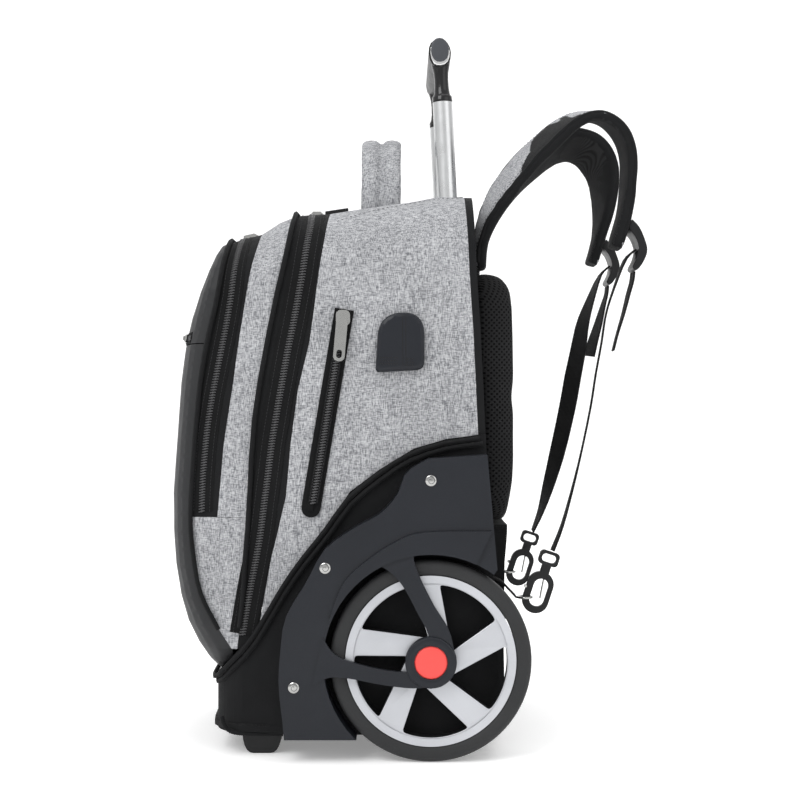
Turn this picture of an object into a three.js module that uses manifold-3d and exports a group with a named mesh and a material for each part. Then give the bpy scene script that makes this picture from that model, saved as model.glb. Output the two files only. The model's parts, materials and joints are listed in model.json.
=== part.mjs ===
import * as THREE from 'three';
import { mergeVertices } from 'three/addons/utils/BufferGeometryUtils.js';
import Module from 'manifold-3d';

const wasm = await Module();
wasm.setup();

// A rolling backpack in millimetres. +X is the wearer's back side, -Y the near side, +Z up.
// While the pieces are built, X = 0 lies in the bag and Z = 0 is the floor.

// Bag
const BAG_WIDTH = 310;
const BAG_HEIGHT = 520;
const BAG_DEPTH = 309;
const BASE_HEIGHT = 21;
const REAR_X = 80;
const TOP_CORNER = 58;
const CLOTH = 2.5;
const BOOT_CORNER = 38;
const PAD_WALL = 5;
const GAP = 0.3;
const PIPING_RADIUS = 2.2;
const PIPING_SEAT = 0.8;
const BASE_PIPING = 5;

// Back
const LEAN = 0.05;
const BACK_TOP_X = 63.4;
const BACK_PANEL = 7;
const BACK_PAD_DEPTH = 32;
const BACK_PAD_WIDTH = BAG_WIDTH * 0.71;
const REAR_COVER_WIDTH = BAG_WIDTH * 0.645;

// Trolley handle
const TUBE_RADIUS = 10;
const TUBE_WALL = 1.2;
const TUBE_SPACING = 140;
const TUBE_LENGTH = 420;
const TUBE_SHOWN = 100;
const TUBE_CLEARANCE = 0.4;
const HOUSING_WALL = 1.6;
const NECK_LENGTH = 34;
const GRIP_WIDTH = 176;
const GRIP_DEPTH = 23;
const GRIP_HEIGHT = 29;

// Wheels and fenders
const WHEEL_RADIUS = 95;
const WHEEL_X = 28.9;
const WHEEL_WIDTH = 22;
const TYRE_DEPTH = 14.3;
const RIM_LIP = 7;
const HUB_RADIUS = 24;
const AXLE_RADIUS = 6;
const SPOKES = 5;
const SPOKE_ANGLE = 32;
const SPOKE_SWEEP = 12.8;
const SPOKE_HUB_HALF = 7.4;
const SPOKE_RIM_HALF = 12.2;
const FENDER_FACE = 187;
const FENDER_PLATE = 4;
const FENDER_RIM = 4;
const FLARE = 3;
const ARCH_CLEARANCE = 5.8;
const CAP_RADIUS = 15.5;
const RIVET_RADIUS = 5.1;
const FOOT_OUT = 0.8065;
const FOOT_AHEAD = 0.68932;
const FOOT_LENGTH = 38;
const FOOT_WIDTH = 36;

// Straps
const STRAP_WIDTH = 62;
const STRAP_THICKNESS = 13;
const WEBBING_WIDTH = 25;
const WEBBING_THICKNESS = 1.8;
const BUCKLE_WIDTH = 34;
const HOOK_THICKNESS = 6;
const RING_RADIUS = 7.2;
const RING_WIRE = 1.2;

// Carry handle and small trim
const HANDLE_WIDTH = 42;
const HANDLE_THICKNESS = 11;
const HANDLE_SPAN = 150;
const HANDLE_RISE = 80;
const TAPE_WIDTH = 18.5;
const USB_WIDTH = 46.6;
const USB_HEIGHT = 57;
const USB_DEPTH = 8;

const HALF_WIDTH = BAG_WIDTH / 2;
const TOP_Z = BASE_HEIGHT + BAG_HEIGHT;
const SIDES = [{ name: 'near', sign: -1 }, { name: 'far', sign: 1 }];

const group = new THREE.Group();

const finish = {
  heather: { color: 0x97989b, roughness: 0.95, metalness: 0 },
  black_cloth: { color: 0x232426, roughness: 0.9, metalness: 0 },
  smooth_panel: { color: 0x3c3d3f, roughness: 0.55, metalness: 0 },
  mesh_pad: { color: 0x1d1e20, roughness: 0.95, metalness: 0 },
  fender_plastic: { color: 0x303339, roughness: 0.45, metalness: 0 },
  black_plastic: { color: 0x1c1d1f, roughness: 0.4, metalness: 0 },
  tyre_rubber: { color: 0x373839, roughness: 0.75, metalness: 0 },
  rim_silver: { color: 0xcdd0d6, roughness: 0.35, metalness: 0.6 },
  cap_red: { color: 0xf55555, roughness: 0.5, metalness: 0 },
  tube_metal: { color: 0xd7d9d8, roughness: 0.25, metalness: 1 },
  nickel: { color: 0xc8c8c3, roughness: 0.3, metalness: 1 },
};

function addPiece(name, geometry, look) {
  const material = new THREE.MeshStandardMaterial(finish[look]);
  const mesh = new THREE.Mesh(geometry, material);
  mesh.name = name;
  group.add(mesh);
}

// Solids and booleans

function toSolid(geometry) {
  const plain = geometry.clone();
  plain.deleteAttribute('normal');
  plain.deleteAttribute('uv');
  const merged = mergeVertices(plain, 1e-4);
  const triVerts = new Uint32Array(merged.index.array);
  const vertProperties = new Float32Array(merged.attributes.position.array);
  return new wasm.Manifold(new wasm.Mesh({ numProp: 3, vertProperties, triVerts }));
}

function toGeometry(solid) {
  const mesh = solid.getMesh();
  const geometry = new THREE.BufferGeometry();
  geometry.setAttribute('position', new THREE.BufferAttribute(new Float32Array(mesh.vertProperties), 3));
  geometry.setIndex(new THREE.BufferAttribute(new Uint32Array(mesh.triVerts), 1));
  return geometry;
}

// Closed body through a row of outlines with equally many points each.
function loftSolid(sections) {
  const count = sections[0].length;
  const positions = [];
  for (const section of sections) {
    for (const point of section) {
      positions.push(point.x, point.y, point.z);
    }
  }
  const index = [];
  for (let row = 0; row + 1 < sections.length; row += 1) {
    for (let i = 0; i < count; i += 1) {
      const a = row * count + i;
      const b = row * count + ((i + 1) % count);
      index.push(a, b, b + count, a, b + count, a + count);
    }
  }
  const last = (sections.length - 1) * count;
  for (const [start, flip] of [[0, true], [last, false]]) {
    const flat = flatten(sections[start / count]);
    for (const [a, b, c] of THREE.ShapeUtils.triangulateShape(flat.points, [])) {
      const keep = flip === flat.turns;
      index.push(start + a, start + (keep ? b : c), start + (keep ? c : b));
    }
  }
  const geometry = new THREE.BufferGeometry();
  geometry.setAttribute('position', new THREE.Float32BufferAttribute(positions, 3));
  geometry.setIndex(index);
  return outward(geometry);
}

// An end outline laid flat for its cap, with its sense of turning.
function flatten(section) {
  const middle = new THREE.Vector3();
  section.forEach((point) => middle.addScaledVector(point, 1 / section.length));
  const normal = new THREE.Vector3();
  section.forEach((point, i) => {
    const next = section[(i + 1) % section.length];
    normal.add(point.clone().sub(middle).cross(next.clone().sub(middle)));
  });
  normal.normalize();
  const across = section[0].clone().sub(middle);
  across.addScaledVector(normal, -across.dot(normal)).normalize();
  const up = normal.clone().cross(across);
  const points = section.map((point) => {
    const arm = point.clone().sub(middle);
    return new THREE.Vector2(arm.dot(across), arm.dot(up));
  });
  return { points, turns: THREE.ShapeUtils.area(points) < 0 };
}

function outward(geometry) {
  const place = geometry.attributes.position;
  const order = geometry.index.array;
  const [a, b, c] = [new THREE.Vector3(), new THREE.Vector3(), new THREE.Vector3()];
  let volume = 0;
  for (let i = 0; i < order.length; i += 3) {
    a.fromBufferAttribute(place, order[i]);
    b.fromBufferAttribute(place, order[i + 1]);
    c.fromBufferAttribute(place, order[i + 2]);
    volume += a.dot(b.cross(c));
  }
  if (volume < 0) {
    for (let i = 0; i < order.length; i += 3) {
      [order[i + 1], order[i + 2]] = [order[i + 2], order[i + 1]];
    }
  }
  return geometry;
}

// Side-view outline of [x, z] pairs or a Shape, made into a plate between two Y values.
function sidePlate(outline, low, high) {
  const shape = outline instanceof THREE.Shape ? outline : polygon(outline);
  const geometry = new THREE.ExtrudeGeometry(shape, {
    depth: high - low, bevelEnabled: false, curveSegments: 5,
  });
  geometry.rotateX(Math.PI / 2);
  geometry.translate(0, high, 0);
  return toSolid(geometry);
}

// The same plate on the near or far side, between two distances from the middle plane.
function sideCover(outline, side, inner, outer) {
  const low = side.sign < 0 ? -outer : inner;
  return sidePlate(outline, low, low + outer - inner);
}

// Outline of [y, z] pairs seen from the front, made into a block between two X values.
function frontPlate(shape, low, high) {
  const geometry = new THREE.ExtrudeGeometry(shape, {
    depth: high - low, bevelEnabled: false, curveSegments: 6,
  });
  const turn = new THREE.Matrix4().makeBasis(
    new THREE.Vector3(0, 1, 0), new THREE.Vector3(0, 0, 1), new THREE.Vector3(1, 0, 0));
  geometry.applyMatrix4(turn);
  geometry.translate(low, 0, 0);
  return toSolid(geometry);
}

function floorPlate(shape, low, high) {
  const geometry = new THREE.ExtrudeGeometry(shape, {
    depth: high - low, bevelEnabled: false, curveSegments: 6,
  });
  geometry.translate(0, 0, low);
  return toSolid(geometry);
}

function polygon(pairs) {
  return new THREE.Shape(pairs.map(([x, y]) => new THREE.Vector2(x, y)));
}

function roundedRectangle(left, right, low, high, radius) {
  const shape = new THREE.Shape();
  shape.moveTo(left + radius, low);
  shape.lineTo(right - radius, low);
  shape.absarc(right - radius, low + radius, radius, -Math.PI / 2, 0);
  shape.lineTo(right, high - radius);
  shape.absarc(right - radius, high - radius, radius, 0, Math.PI / 2);
  shape.lineTo(left + radius, high);
  shape.absarc(left + radius, high - radius, radius, Math.PI / 2, Math.PI);
  shape.lineTo(left, low + radius);
  shape.absarc(left + radius, low + radius, radius, Math.PI, 1.5 * Math.PI);
  return shape;
}

function smoothPairs(pairs, steps) {
  const points = pairs.map(([x, z]) => new THREE.Vector2(x, z));
  return new THREE.SplineCurve(points).getPoints(steps).map((point) => [point.x, point.y]);
}

function tubeAlong(points, radius, sides, steps) {
  const section = polygon(Array.from({ length: sides }, (_, i) => {
    const angle = (2 * Math.PI * i) / sides;
    return [radius * Math.cos(angle), radius * Math.sin(angle)];
  }));
  const extrudePath = new THREE.CatmullRomCurve3(points);
  return toSolid(new THREE.ExtrudeGeometry(section, { steps, extrudePath, bevelEnabled: false }));
}

// A turned piece about a line along Y: profile rows are [radius, y].
function turned(profile, x, z, segments) {
  const points = profile.map(([radius, y]) => new THREE.Vector2(radius, y));
  const geometry = new THREE.LatheGeometry(points, segments);
  geometry.translate(x, 0, z);
  return toSolid(outward(mergeVertices(stripped(geometry), 1e-4)));
}

function stripped(geometry) {
  geometry.deleteAttribute('normal');
  geometry.deleteAttribute('uv');
  return geometry;
}

// Bag shape: tables hold shares of the bag's height, depth and half width.

const heightAt = (up) => BASE_HEIGHT + up * BAG_HEIGHT;
const depthAt = (ahead) => REAR_X - ahead * BAG_DEPTH;

// Walls from the back forwards.
const stations = [
  { ahead: -0.05, half: 0.97, top: 1.0 },
  { ahead: 0.06, half: 1.0, top: 1.0 },
  { ahead: 0.14, half: 1.0, top: 1.0 },
  { ahead: 0.235, half: 1.0, top: 0.989 },
  { ahead: 0.38, half: 1.0, top: 0.977 },
  { ahead: 0.482, half: 1.0, top: 0.967 },
  { ahead: 0.592, half: 0.99, top: 0.963 },
  { ahead: 0.645, half: 0.98, top: 0.951 },
  { ahead: 0.702, half: 0.965, top: 0.93 },
  { ahead: 0.803, half: 0.935, top: 0.914 },
  { ahead: 0.93, half: 0.9, top: 0.893 },
];

// Seams seen from the side, from the bottom up.
const edges = {
  mainBack: [
    { up: -0.02, ahead: 0.712 }, { up: 0.075, ahead: 0.712 }, { up: 0.204, ahead: 0.693 },
    { up: 0.325, ahead: 0.657 }, { up: 0.437, ahead: 0.612 }, { up: 0.526, ahead: 0.599 },
    { up: 0.631, ahead: 0.576 }, { up: 0.719, ahead: 0.54 }, { up: 0.84, ahead: 0.511 },
    { up: 0.967, ahead: 0.481 },
  ],
  mainFront: [
    { up: -0.02, ahead: 0.77 }, { up: 0.152, ahead: 0.764 }, { up: 0.259, ahead: 0.744 },
    { up: 0.392, ahead: 0.73 }, { up: 0.467, ahead: 0.722 }, { up: 0.596, ahead: 0.706 },
    { up: 0.701, ahead: 0.676 }, { up: 0.806, ahead: 0.641 }, { up: 0.876, ahead: 0.615 },
    { up: 0.963, ahead: 0.592 },
  ],
  frontBack: [
    { up: 0.396, ahead: 0.828 }, { up: 0.526, ahead: 0.806 }, { up: 0.631, ahead: 0.78 },
    { up: 0.737, ahead: 0.757 }, { up: 0.848, ahead: 0.728 }, { up: 0.929, ahead: 0.702 },
  ],
  frontFront: [
    { up: 0.15, ahead: 0.778 }, { up: 0.184, ahead: 0.817 }, { up: 0.23, ahead: 0.861 },
    { up: 0.278, ahead: 0.894 }, { up: 0.396, ahead: 0.913 }, { up: 0.49, ahead: 0.903 },
    { up: 0.596, ahead: 0.887 }, { up: 0.701, ahead: 0.871 }, { up: 0.754, ahead: 0.845 },
    { up: 0.831, ahead: 0.822 }, { up: 0.914, ahead: 0.803 },
  ],
};

// Foremost line of the padded front panel.
const nose = [
  { up: 0.1, ahead: 0.856 }, { up: 0.115, ahead: 0.882 }, { up: 0.146, ahead: 0.921 },
  { up: 0.198, ahead: 0.96 }, { up: 0.267, ahead: 0.987 }, { up: 0.337, ahead: 0.997 },
  { up: 0.429, ahead: 1.0 }, { up: 0.56, ahead: 0.987 }, { up: 0.65, ahead: 0.977 },
  { up: 0.729, ahead: 0.958 }, { up: 0.777, ahead: 0.9385 }, { up: 0.833, ahead: 0.906 },
  { up: 0.898, ahead: 0.858 }, { up: 0.914, ahead: 0.843 },
];

// Upper edge of the black boot, from the back forwards.
const bootEdge = [
  { ahead: -0.08, up: 0.554 }, { ahead: 0.014, up: 0.55 }, { ahead: 0.117, up: 0.542 },
  { ahead: 0.214, up: 0.525 }, { ahead: 0.324, up: 0.485 }, { ahead: 0.414, up: 0.445 },
  { ahead: 0.46, up: 0.404 }, { ahead: 0.557, up: 0.331 }, { ahead: 0.612, up: 0.285 },
  { ahead: 0.686, up: 0.21 }, { ahead: 0.73, up: 0.17 }, { ahead: 0.767, up: 0.148 },
  { ahead: 0.836, up: 0.102 },
];

// Value of one column where another column has a given value.
function lookUp(rows, key, value, column) {
  const rising = rows[0][key] < rows[rows.length - 1][key];
  const ordered = rising ? rows : [...rows].reverse();
  for (let i = 0; i + 1 < ordered.length; i += 1) {
    const from = ordered[i];
    const to = ordered[i + 1];
    if (value <= to[key] || i + 2 === ordered.length) {
      const share = THREE.MathUtils.clamp((value - from[key]) / (to[key] - from[key]), 0, 1);
      return THREE.MathUtils.lerp(from[column], to[column], share);
    }
  }
  return ordered[0][column];
}

const halfAt = (x) => HALF_WIDTH * lookUp(stations, 'ahead', (REAR_X - x) / BAG_DEPTH, 'half');
const topAt = (x) => heightAt(lookUp(stations, 'ahead', (REAR_X - x) / BAG_DEPTH, 'top'));
const edgeX = (rows, z) => depthAt(lookUp(rows, 'up', (z - BASE_HEIGHT) / BAG_HEIGHT, 'ahead'));
const bootTop = (x) => heightAt(lookUp(bootEdge, 'ahead', (REAR_X - x) / BAG_DEPTH, 'up'));
const backX = (z) => BACK_TOP_X + (TOP_Z - z) * LEAN;

const CORNER_STEPS = 7;

// Arch-shaped outline of the bag at one X, open downwards past its foot.
function archOutline(x, grow, foot) {
  const half = halfAt(x) + grow;
  const top = topAt(x) + grow;
  const radius = TOP_CORNER + grow;
  const points = [new THREE.Vector3(x, -half, foot)];
  for (let i = 0; i <= CORNER_STEPS; i += 1) {
    const angle = Math.PI - (Math.PI / 2) * (i / CORNER_STEPS);
    const y = -half + radius + radius * Math.cos(angle);
    points.push(new THREE.Vector3(x, y, top - radius + radius * Math.sin(angle)));
  }
  for (let i = 0; i <= CORNER_STEPS; i += 1) {
    const angle = Math.PI / 2 - (Math.PI / 2) * (i / CORNER_STEPS);
    const y = half - radius + radius * Math.cos(angle);
    points.push(new THREE.Vector3(x, y, top - radius + radius * Math.sin(angle)));
  }
  points.push(new THREE.Vector3(x, half, foot));
  return points;
}

function bagBlock(grow, foot) {
  return toSolid(loftSolid(stations.map(({ ahead }) => archOutline(depthAt(ahead), grow, foot))));
}

const bagOuter = bagBlock(0, BASE_HEIGHT + CLOTH + GAP);
// The hollow runs on past both ends, so the skin is open in front and behind.
function bagHollow() {
  const inside = stations.map(({ ahead }) => archOutline(depthAt(ahead), -CLOTH, BASE_HEIGHT - CLOTH));
  const shifted = (section, reach) => section.map((point) => new THREE.Vector3(reach, point.y, point.z));
  const behind = shifted(inside[0], REAR_X + BAG_DEPTH);
  const before = shifted(inside[inside.length - 1], -BAG_DEPTH);
  return toSolid(loftSolid([behind, ...inside, before]));
}

const bagSkin = bagOuter.subtract(bagHollow());

// Strip of the side view between two seams, from one height to another.
function seamStrip(front, back, low, high) {
  const line = (edge) => [low, ...edge.knots.filter((z) => z > low && z < high), high]
    .map((z) => [edge.at(z), z]);
  return sidePlate([...line(front), ...line(back).reverse()], -BAG_WIDTH, BAG_WIDTH);
}

const seam = (rows, shift) => ({
  at: (z) => edgeX(rows, z) + shift, knots: rows.map((row) => heightAt(row.up)),
});
const backLine = (shift) => ({ at: (z) => backX(z) + shift, knots: [] });
const SEAM_GAP = 0.2;
const ABOVE_BAG = TOP_Z + 60;
const MAIN_BAND_FOOT = heightAt(0.154);
const MAIN_PIPING_FOOT = heightAt(0.195);
const FRONT_BAND_FOOT = heightAt(0.396);
const PATCH_TOP = FRONT_BAND_FOOT - 2 * SEAM_GAP;
const BAG_FOOT = BASE_HEIGHT - 10;
const PANEL_SPLIT = heightAt(0.718);
const farAhead = { at: () => -BAG_DEPTH, knots: [] };

// Trolley layout: the tubes stand parallel to the leaning back.
const LEAN_ANGLE = Math.atan(LEAN);
const HOUSING_RADIUS = TUBE_RADIUS + TUBE_CLEARANCE + HOUSING_WALL;
const TUBE_SETBACK = HOUSING_RADIUS + 3.5;
const tubeX = (z) => backX(z) - TUBE_SETBACK / Math.cos(LEAN_ANGLE);

// Puts a solid built about the Z axis, with Z = 0 at the bag's top, onto a leaning tube line.
function leaned(solid, y) {
  const degrees = -THREE.MathUtils.radToDeg(LEAN_ANGLE);
  return solid.rotate([0, degrees, 0]).translate([tubeX(TOP_Z), y, TOP_Z]);
}

function housingOutline(grow) {
  const radius = HOUSING_RADIUS + grow;
  const shape = new THREE.Shape();
  shape.moveTo(TUBE_SETBACK - GAP + grow, -radius);
  shape.lineTo(TUBE_SETBACK - GAP + grow, radius);
  shape.lineTo(0, radius);
  shape.absarc(0, 0, radius, Math.PI / 2, 1.5 * Math.PI);
  return shape;
}

const tubeSpots = SIDES.map((side) => ({ name: side.name, y: (side.sign * TUBE_SPACING) / 2 }));

function buildTrolley() {
  const housingLength = BAG_HEIGHT - 22;
  for (const { name, y } of tubeSpots) {
    const shape = housingOutline(0);
    shape.holes.push(circlePath(TUBE_RADIUS + TUBE_CLEARANCE));
    addPiece(`tube_housing_${name}`, toGeometry(leaned(floorPlate(shape, -housingLength, 2), y)),
      'black_plastic');
    const ring = new THREE.Shape();
    ring.absarc(0, 0, TUBE_RADIUS, 0, 2 * Math.PI);
    ring.holes.push(circlePath(TUBE_RADIUS - TUBE_WALL));
    const tube = floorPlate(ring, TUBE_SHOWN - TUBE_LENGTH, TUBE_SHOWN);
    addPiece(`trolley_tube_${name}`, toGeometry(leaned(tube, y)), 'tube_metal');
  }
  addPiece('trolley_grip', toGeometry(tubeSpots.reduce(
    (grip, { y }) => grip.add(neck(y)), gripBar())), 'black_plastic');
}

function circlePath(radius) {
  const path = new THREE.Path();
  path.absarc(0, 0, radius, 0, 2 * Math.PI);
  return path;
}

// Waisted neck: radius and height shares of its length.
const neckProfile = [
  { share: 0, radius: TUBE_RADIUS }, { share: 0.2, radius: TUBE_RADIUS },
  { share: 0.45, radius: 7.6 }, { share: 0.75, radius: 7.2 }, { share: 1.12, radius: 9 },
];

function neck(y) {
  const points = [new THREE.Vector2(0, 0)];
  for (const { share, radius } of neckProfile) {
    points.push(new THREE.Vector2(radius, share * NECK_LENGTH));
  }
  points.push(new THREE.Vector2(0, neckProfile[neckProfile.length - 1].share * NECK_LENGTH));
  const geometry = new THREE.LatheGeometry(points, 14);
  geometry.rotateX(Math.PI / 2);
  geometry.translate(0, 0, TUBE_SHOWN + GAP);
  return leaned(toSolid(outward(mergeVertices(stripped(geometry), 1e-4))), y);
}

function gripBar() {
  const section = new THREE.Shape();
  section.absellipse(0, 0, GRIP_DEPTH / 2, GRIP_HEIGHT / 2, 0, 2 * Math.PI, false, 0);
  const bevel = 4;
  const geometry = new THREE.ExtrudeGeometry(section, {
    depth: GRIP_WIDTH - 2 * bevel, bevelEnabled: true, bevelSize: bevel, bevelThickness: bevel,
    bevelOffset: -bevel, bevelSegments: 2, curveSegments: 8,
  });
  geometry.rotateX(Math.PI / 2);
  const rise = TUBE_SHOWN + NECK_LENGTH + GRIP_HEIGHT / 2;
  geometry.translate(-1, GRIP_WIDTH / 2 - bevel, rise);
  return leaned(toSolid(geometry), 0);
}

function buildBag() {
  let shell = bagSkin.intersect(
    seamStrip(seam(edges.mainBack, SEAM_GAP), backLine(-GAP), BAG_FOOT, ABOVE_BAG));
  for (const { y } of tubeSpots) {
    shell = shell.subtract(leaned(floorPlate(housingOutline(GAP), -40, 20), y));
  }
  addPiece('main_shell', toGeometry(shell), 'heather');

  const mainBand = seamStrip(seam(edges.mainFront, SEAM_GAP), seam(edges.mainBack, -SEAM_GAP),
    MAIN_BAND_FOOT, ABOVE_BAG);
  const band = bagSkin.intersect(mainBand).subtract(bootRegion(GAP));
  addPiece('main_zip_band', toGeometry(band), 'black_cloth');

  const middle = seamStrip(seam(edges.frontBack, SEAM_GAP), seam(edges.mainFront, -SEAM_GAP),
    FRONT_BAND_FOOT, ABOVE_BAG);
  addPiece('middle_gusset', toGeometry(bagSkin.intersect(middle)), 'heather');

  const frontBand = seamStrip(seam(edges.frontFront, SEAM_GAP), seam(edges.frontBack, -SEAM_GAP),
    FRONT_BAND_FOOT, ABOVE_BAG);
  addPiece('front_zip_band', toGeometry(bagSkin.intersect(frontBand)), 'black_cloth');

  const patch = seamStrip(seam(edges.frontFront, SEAM_GAP), seam(edges.mainFront, -SEAM_GAP),
    MAIN_BAND_FOOT, PATCH_TOP);
  for (const side of SIDES) {
    const half = sideCover([[-BAG_DEPTH, 0], [BAG_DEPTH, 0], [BAG_DEPTH, BAG_HEIGHT],
      [-BAG_DEPTH, BAG_HEIGHT]], side, 1, BAG_WIDTH);
    const gusset = bagSkin.intersect(patch).intersect(half).subtract(bootRegion(GAP));
    addPiece(`lower_gusset_${side.name}`, toGeometry(gusset), 'heather');
  }
}

function buildBackPanel() {
  const foot = BASE_HEIGHT + CLOTH + GAP;
  const slab = seamStrip(backLine(0), backLine(BACK_PANEL), foot, ABOVE_BAG);
  addPiece('back_panel', toGeometry(bagOuter.intersect(slab)), 'black_cloth');
}

// Padded front: horizontal sections bulge forwards from the front seam.
function frontBlock(inset, behind) {
  const low = heightAt(0.1) + inset;
  const high = heightAt(0.914) - inset;
  const rows = 18;
  const sections = [];
  for (let i = 0; i <= rows; i += 1) {
    const z = low + (high - low) * (0.5 - 0.5 * Math.cos((Math.PI * i) / rows));
    sections.push(frontSection(z, inset, behind));
  }
  return toSolid(loftSolid(sections));
}

const FRONT_LOW_CORNER = 48;
const FRONT_FULLNESS = 2.7;

function frontSection(z, inset, behind) {
  const rim = Math.min(edgeX(edges.frontFront, z), edgeX(edges.frontFront, heightAt(0.914)) + 60);
  const tip = Math.min(edgeX(nose, z) + inset, rim - 2);
  const top = heightAt(0.914);
  const low = heightAt(0.1);
  let half = halfAt(rim) - inset;
  half -= cornerLoss(top - inset - z, TOP_CORNER - inset);
  half -= cornerLoss(z - low - inset, FRONT_LOW_CORNER);
  const points = [];
  const steps = 14;
  for (let i = 0; i <= steps; i += 1) {
    const angle = Math.PI * (i / steps);
    const cos = Math.cos(angle);
    const y = -half * Math.sign(cos) * Math.abs(cos) ** (2 / FRONT_FULLNESS);
    const reach = Math.sin(angle) ** (2 / FRONT_FULLNESS);
    points.push(new THREE.Vector3(rim + (tip - rim) * reach, y, z));
  }
  points.push(new THREE.Vector3(rim + behind, half, z), new THREE.Vector3(rim + behind, -half, z));
  return points;
}

function cornerLoss(distance, radius) {
  if (distance >= radius) {
    return 0;
  }
  const rise = radius - Math.max(distance, 0);
  return radius - Math.sqrt(Math.max(radius * radius - rise * rise, 0));
}

function buildFrontPanel() {
  const padding = frontBlock(0, 0.2).subtract(frontBlock(PAD_WALL, BAG_DEPTH));
  const split = 1;
  const clear = padding.subtract(bootRegion(GAP));
  const rim = seam(edges.frontFront, -SEAM_GAP);
  const upper = seamStrip(farAhead, rim, PANEL_SPLIT, ABOVE_BAG);
  addPiece('front_panel_upper', toGeometry(clear.intersect(upper)), 'smooth_panel');
  const lower = seamStrip(farAhead, rim, heightAt(0.08), PANEL_SPLIT - split);
  addPiece('front_panel_lower', toGeometry(clear.intersect(lower)), 'smooth_panel');
}

// Everything below the boot's upper edge, as a block across the bag.
function bootRegion(grow) {
  const pairs = bootEdge.map((row) => [depthAt(row.ahead), heightAt(row.up) + grow]);
  const [reach, low] = pairs[pairs.length - 1];
  pairs.push([reach - grow, low], [reach - grow, 0], [pairs[0][0], 0]);
  return sidePlate(pairs, -BAG_WIDTH, BAG_WIDTH);
}

const BOOT_FRONT = depthAt(bootEdge[bootEdge.length - 1].ahead);
const BOOT_CORNER_X = BOOT_FRONT + BOOT_CORNER;
const BOOT_HALF = halfAt(BOOT_CORNER_X) + CLOTH + GAP;

// Plan of the boot: only its two front corners are rounded, the walls behind follow the bag.
function bootPlan(inset) {
  const half = BOOT_HALF - inset;
  const radius = BOOT_CORNER - inset;
  const shape = new THREE.Shape();
  shape.moveTo(REAR_X + 30, -BAG_WIDTH);
  shape.lineTo(REAR_X + 30, BAG_WIDTH);
  shape.lineTo(BOOT_CORNER_X, BAG_WIDTH);
  shape.lineTo(BOOT_CORNER_X, half);
  shape.absarc(BOOT_CORNER_X, half - radius, radius, Math.PI / 2, Math.PI);
  shape.absarc(BOOT_CORNER_X, -half + radius, radius, Math.PI, 1.5 * Math.PI);
  shape.lineTo(BOOT_CORNER_X, -BAG_WIDTH);
  return shape;
}

function buildBoot() {
  const grow = CLOTH + GAP;
  const outer = bagBlock(grow, BASE_HEIGHT).intersect(floorPlate(bootPlan(0), 0, TOP_Z));
  const hollow = bagBlock(GAP, BASE_HEIGHT + CLOTH).intersect(floorPlate(bootPlan(CLOTH), 0, TOP_Z));
  const ahead = seamStrip(farAhead, backLine(BACK_PANEL), BASE_HEIGHT - 5, ABOVE_BAG);
  const piping = tubeAlong(bootLoop(BASE_HEIGHT + BASE_PIPING, grow), BASE_PIPING, 6, 40);
  const tub = outer.intersect(bootRegion(0)).add(piping).subtract(hollow).intersect(ahead);
  addPiece('boot', toGeometry(tub), 'black_cloth');
  const trim = tubeAlong(bootTrimPath(grow + PIPING_SEAT + PIPING_RADIUS), PIPING_RADIUS, 5, 56);
  addPiece('boot_piping', toGeometry(trim), 'black_cloth');
}

// Path round the boot at one height, a little inside its wall.
function bootLoop(z, grow) {
  const xs = [REAR_X + 12, REAR_X - 40, REAR_X - 90, REAR_X - 150, fenderX(1.45)];
  const tucked = BASE_PIPING - GAP / 3;
  const near = xs.map((x) => new THREE.Vector3(x, -halfAt(x) - grow + tucked, z));
  return [...near, ...bootCorner(-1, 1, () => z), ...bootCorner(1, 1, () => z),
    ...near.map((point) => new THREE.Vector3(point.x, -point.y, z)).reverse()];
}

// Rounded front corner of the boot; the near corner runs forwards, the far one backwards.
function bootCorner(sign, inset, heightFor) {
  const radius = BOOT_CORNER - inset;
  const points = [];
  for (const share of [0.1, 0.3, 0.5, 0.7, 0.9]) {
    const angle = (Math.PI / 2) * (sign < 0 ? share : 1 - share);
    const x = BOOT_CORNER_X - radius * Math.sin(angle);
    const y = sign * (BOOT_HALF - BOOT_CORNER + radius * Math.cos(angle));
    points.push(new THREE.Vector3(x, y, heightFor(x)));
  }
  return points;
}

function bootTrimPath(grow) {
  const drop = PIPING_RADIUS + 1.2;
  const shares = [0, 0.117, 0.214, 0.324, 0.414, 0.46, 0.557, 0.612, 0.66];
  const near = shares.map((ahead) => {
    const x = depthAt(ahead) - 4;
    return new THREE.Vector3(x, -halfAt(x) - grow, bootTop(x) - drop);
  });
  const outset = -(grow - CLOTH);
  const heightFor = (x) => bootTop(Math.max(x, BOOT_FRONT)) - drop;
  return [...near, ...bootCorner(-1, outset, heightFor), ...bootCorner(1, outset, heightFor),
    ...near.map((point) => new THREE.Vector3(point.x, -point.y, point.z)).reverse()];
}

// Route over the bag along a seam: up the near side, over the top, down the far side.
function seamRoute(rows, grow, foot) {
  const topX = edgeX(rows, TOP_Z);
  const top = topAt(topX) + grow;
  const radius = TOP_CORNER + grow;
  const side = [];
  const steps = 9;
  for (let i = 0; i <= steps; i += 1) {
    const z = foot + (top - radius - 6 - foot) * (i / steps);
    const x = edgeX(rows, z);
    side.push(new THREE.Vector3(x, -halfAt(x) - grow, z));
  }
  for (const share of [0.1, 0.28, 0.46, 0.64, 0.82, 1]) {
    const angle = (Math.PI / 2) * share;
    const z = top - radius + radius * Math.sin(angle);
    const x = edgeX(rows, Math.min(z, TOP_Z));
    side.push(new THREE.Vector3(x, -halfAt(x) - grow + radius * (1 - Math.cos(angle)), z));
  }
  side.push(new THREE.Vector3(topX, -HALF_WIDTH * 0.35, top));
  const mirrored = side.map((point) => new THREE.Vector3(point.x, -point.y, point.z)).reverse();
  return [...side, ...mirrored];
}

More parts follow.
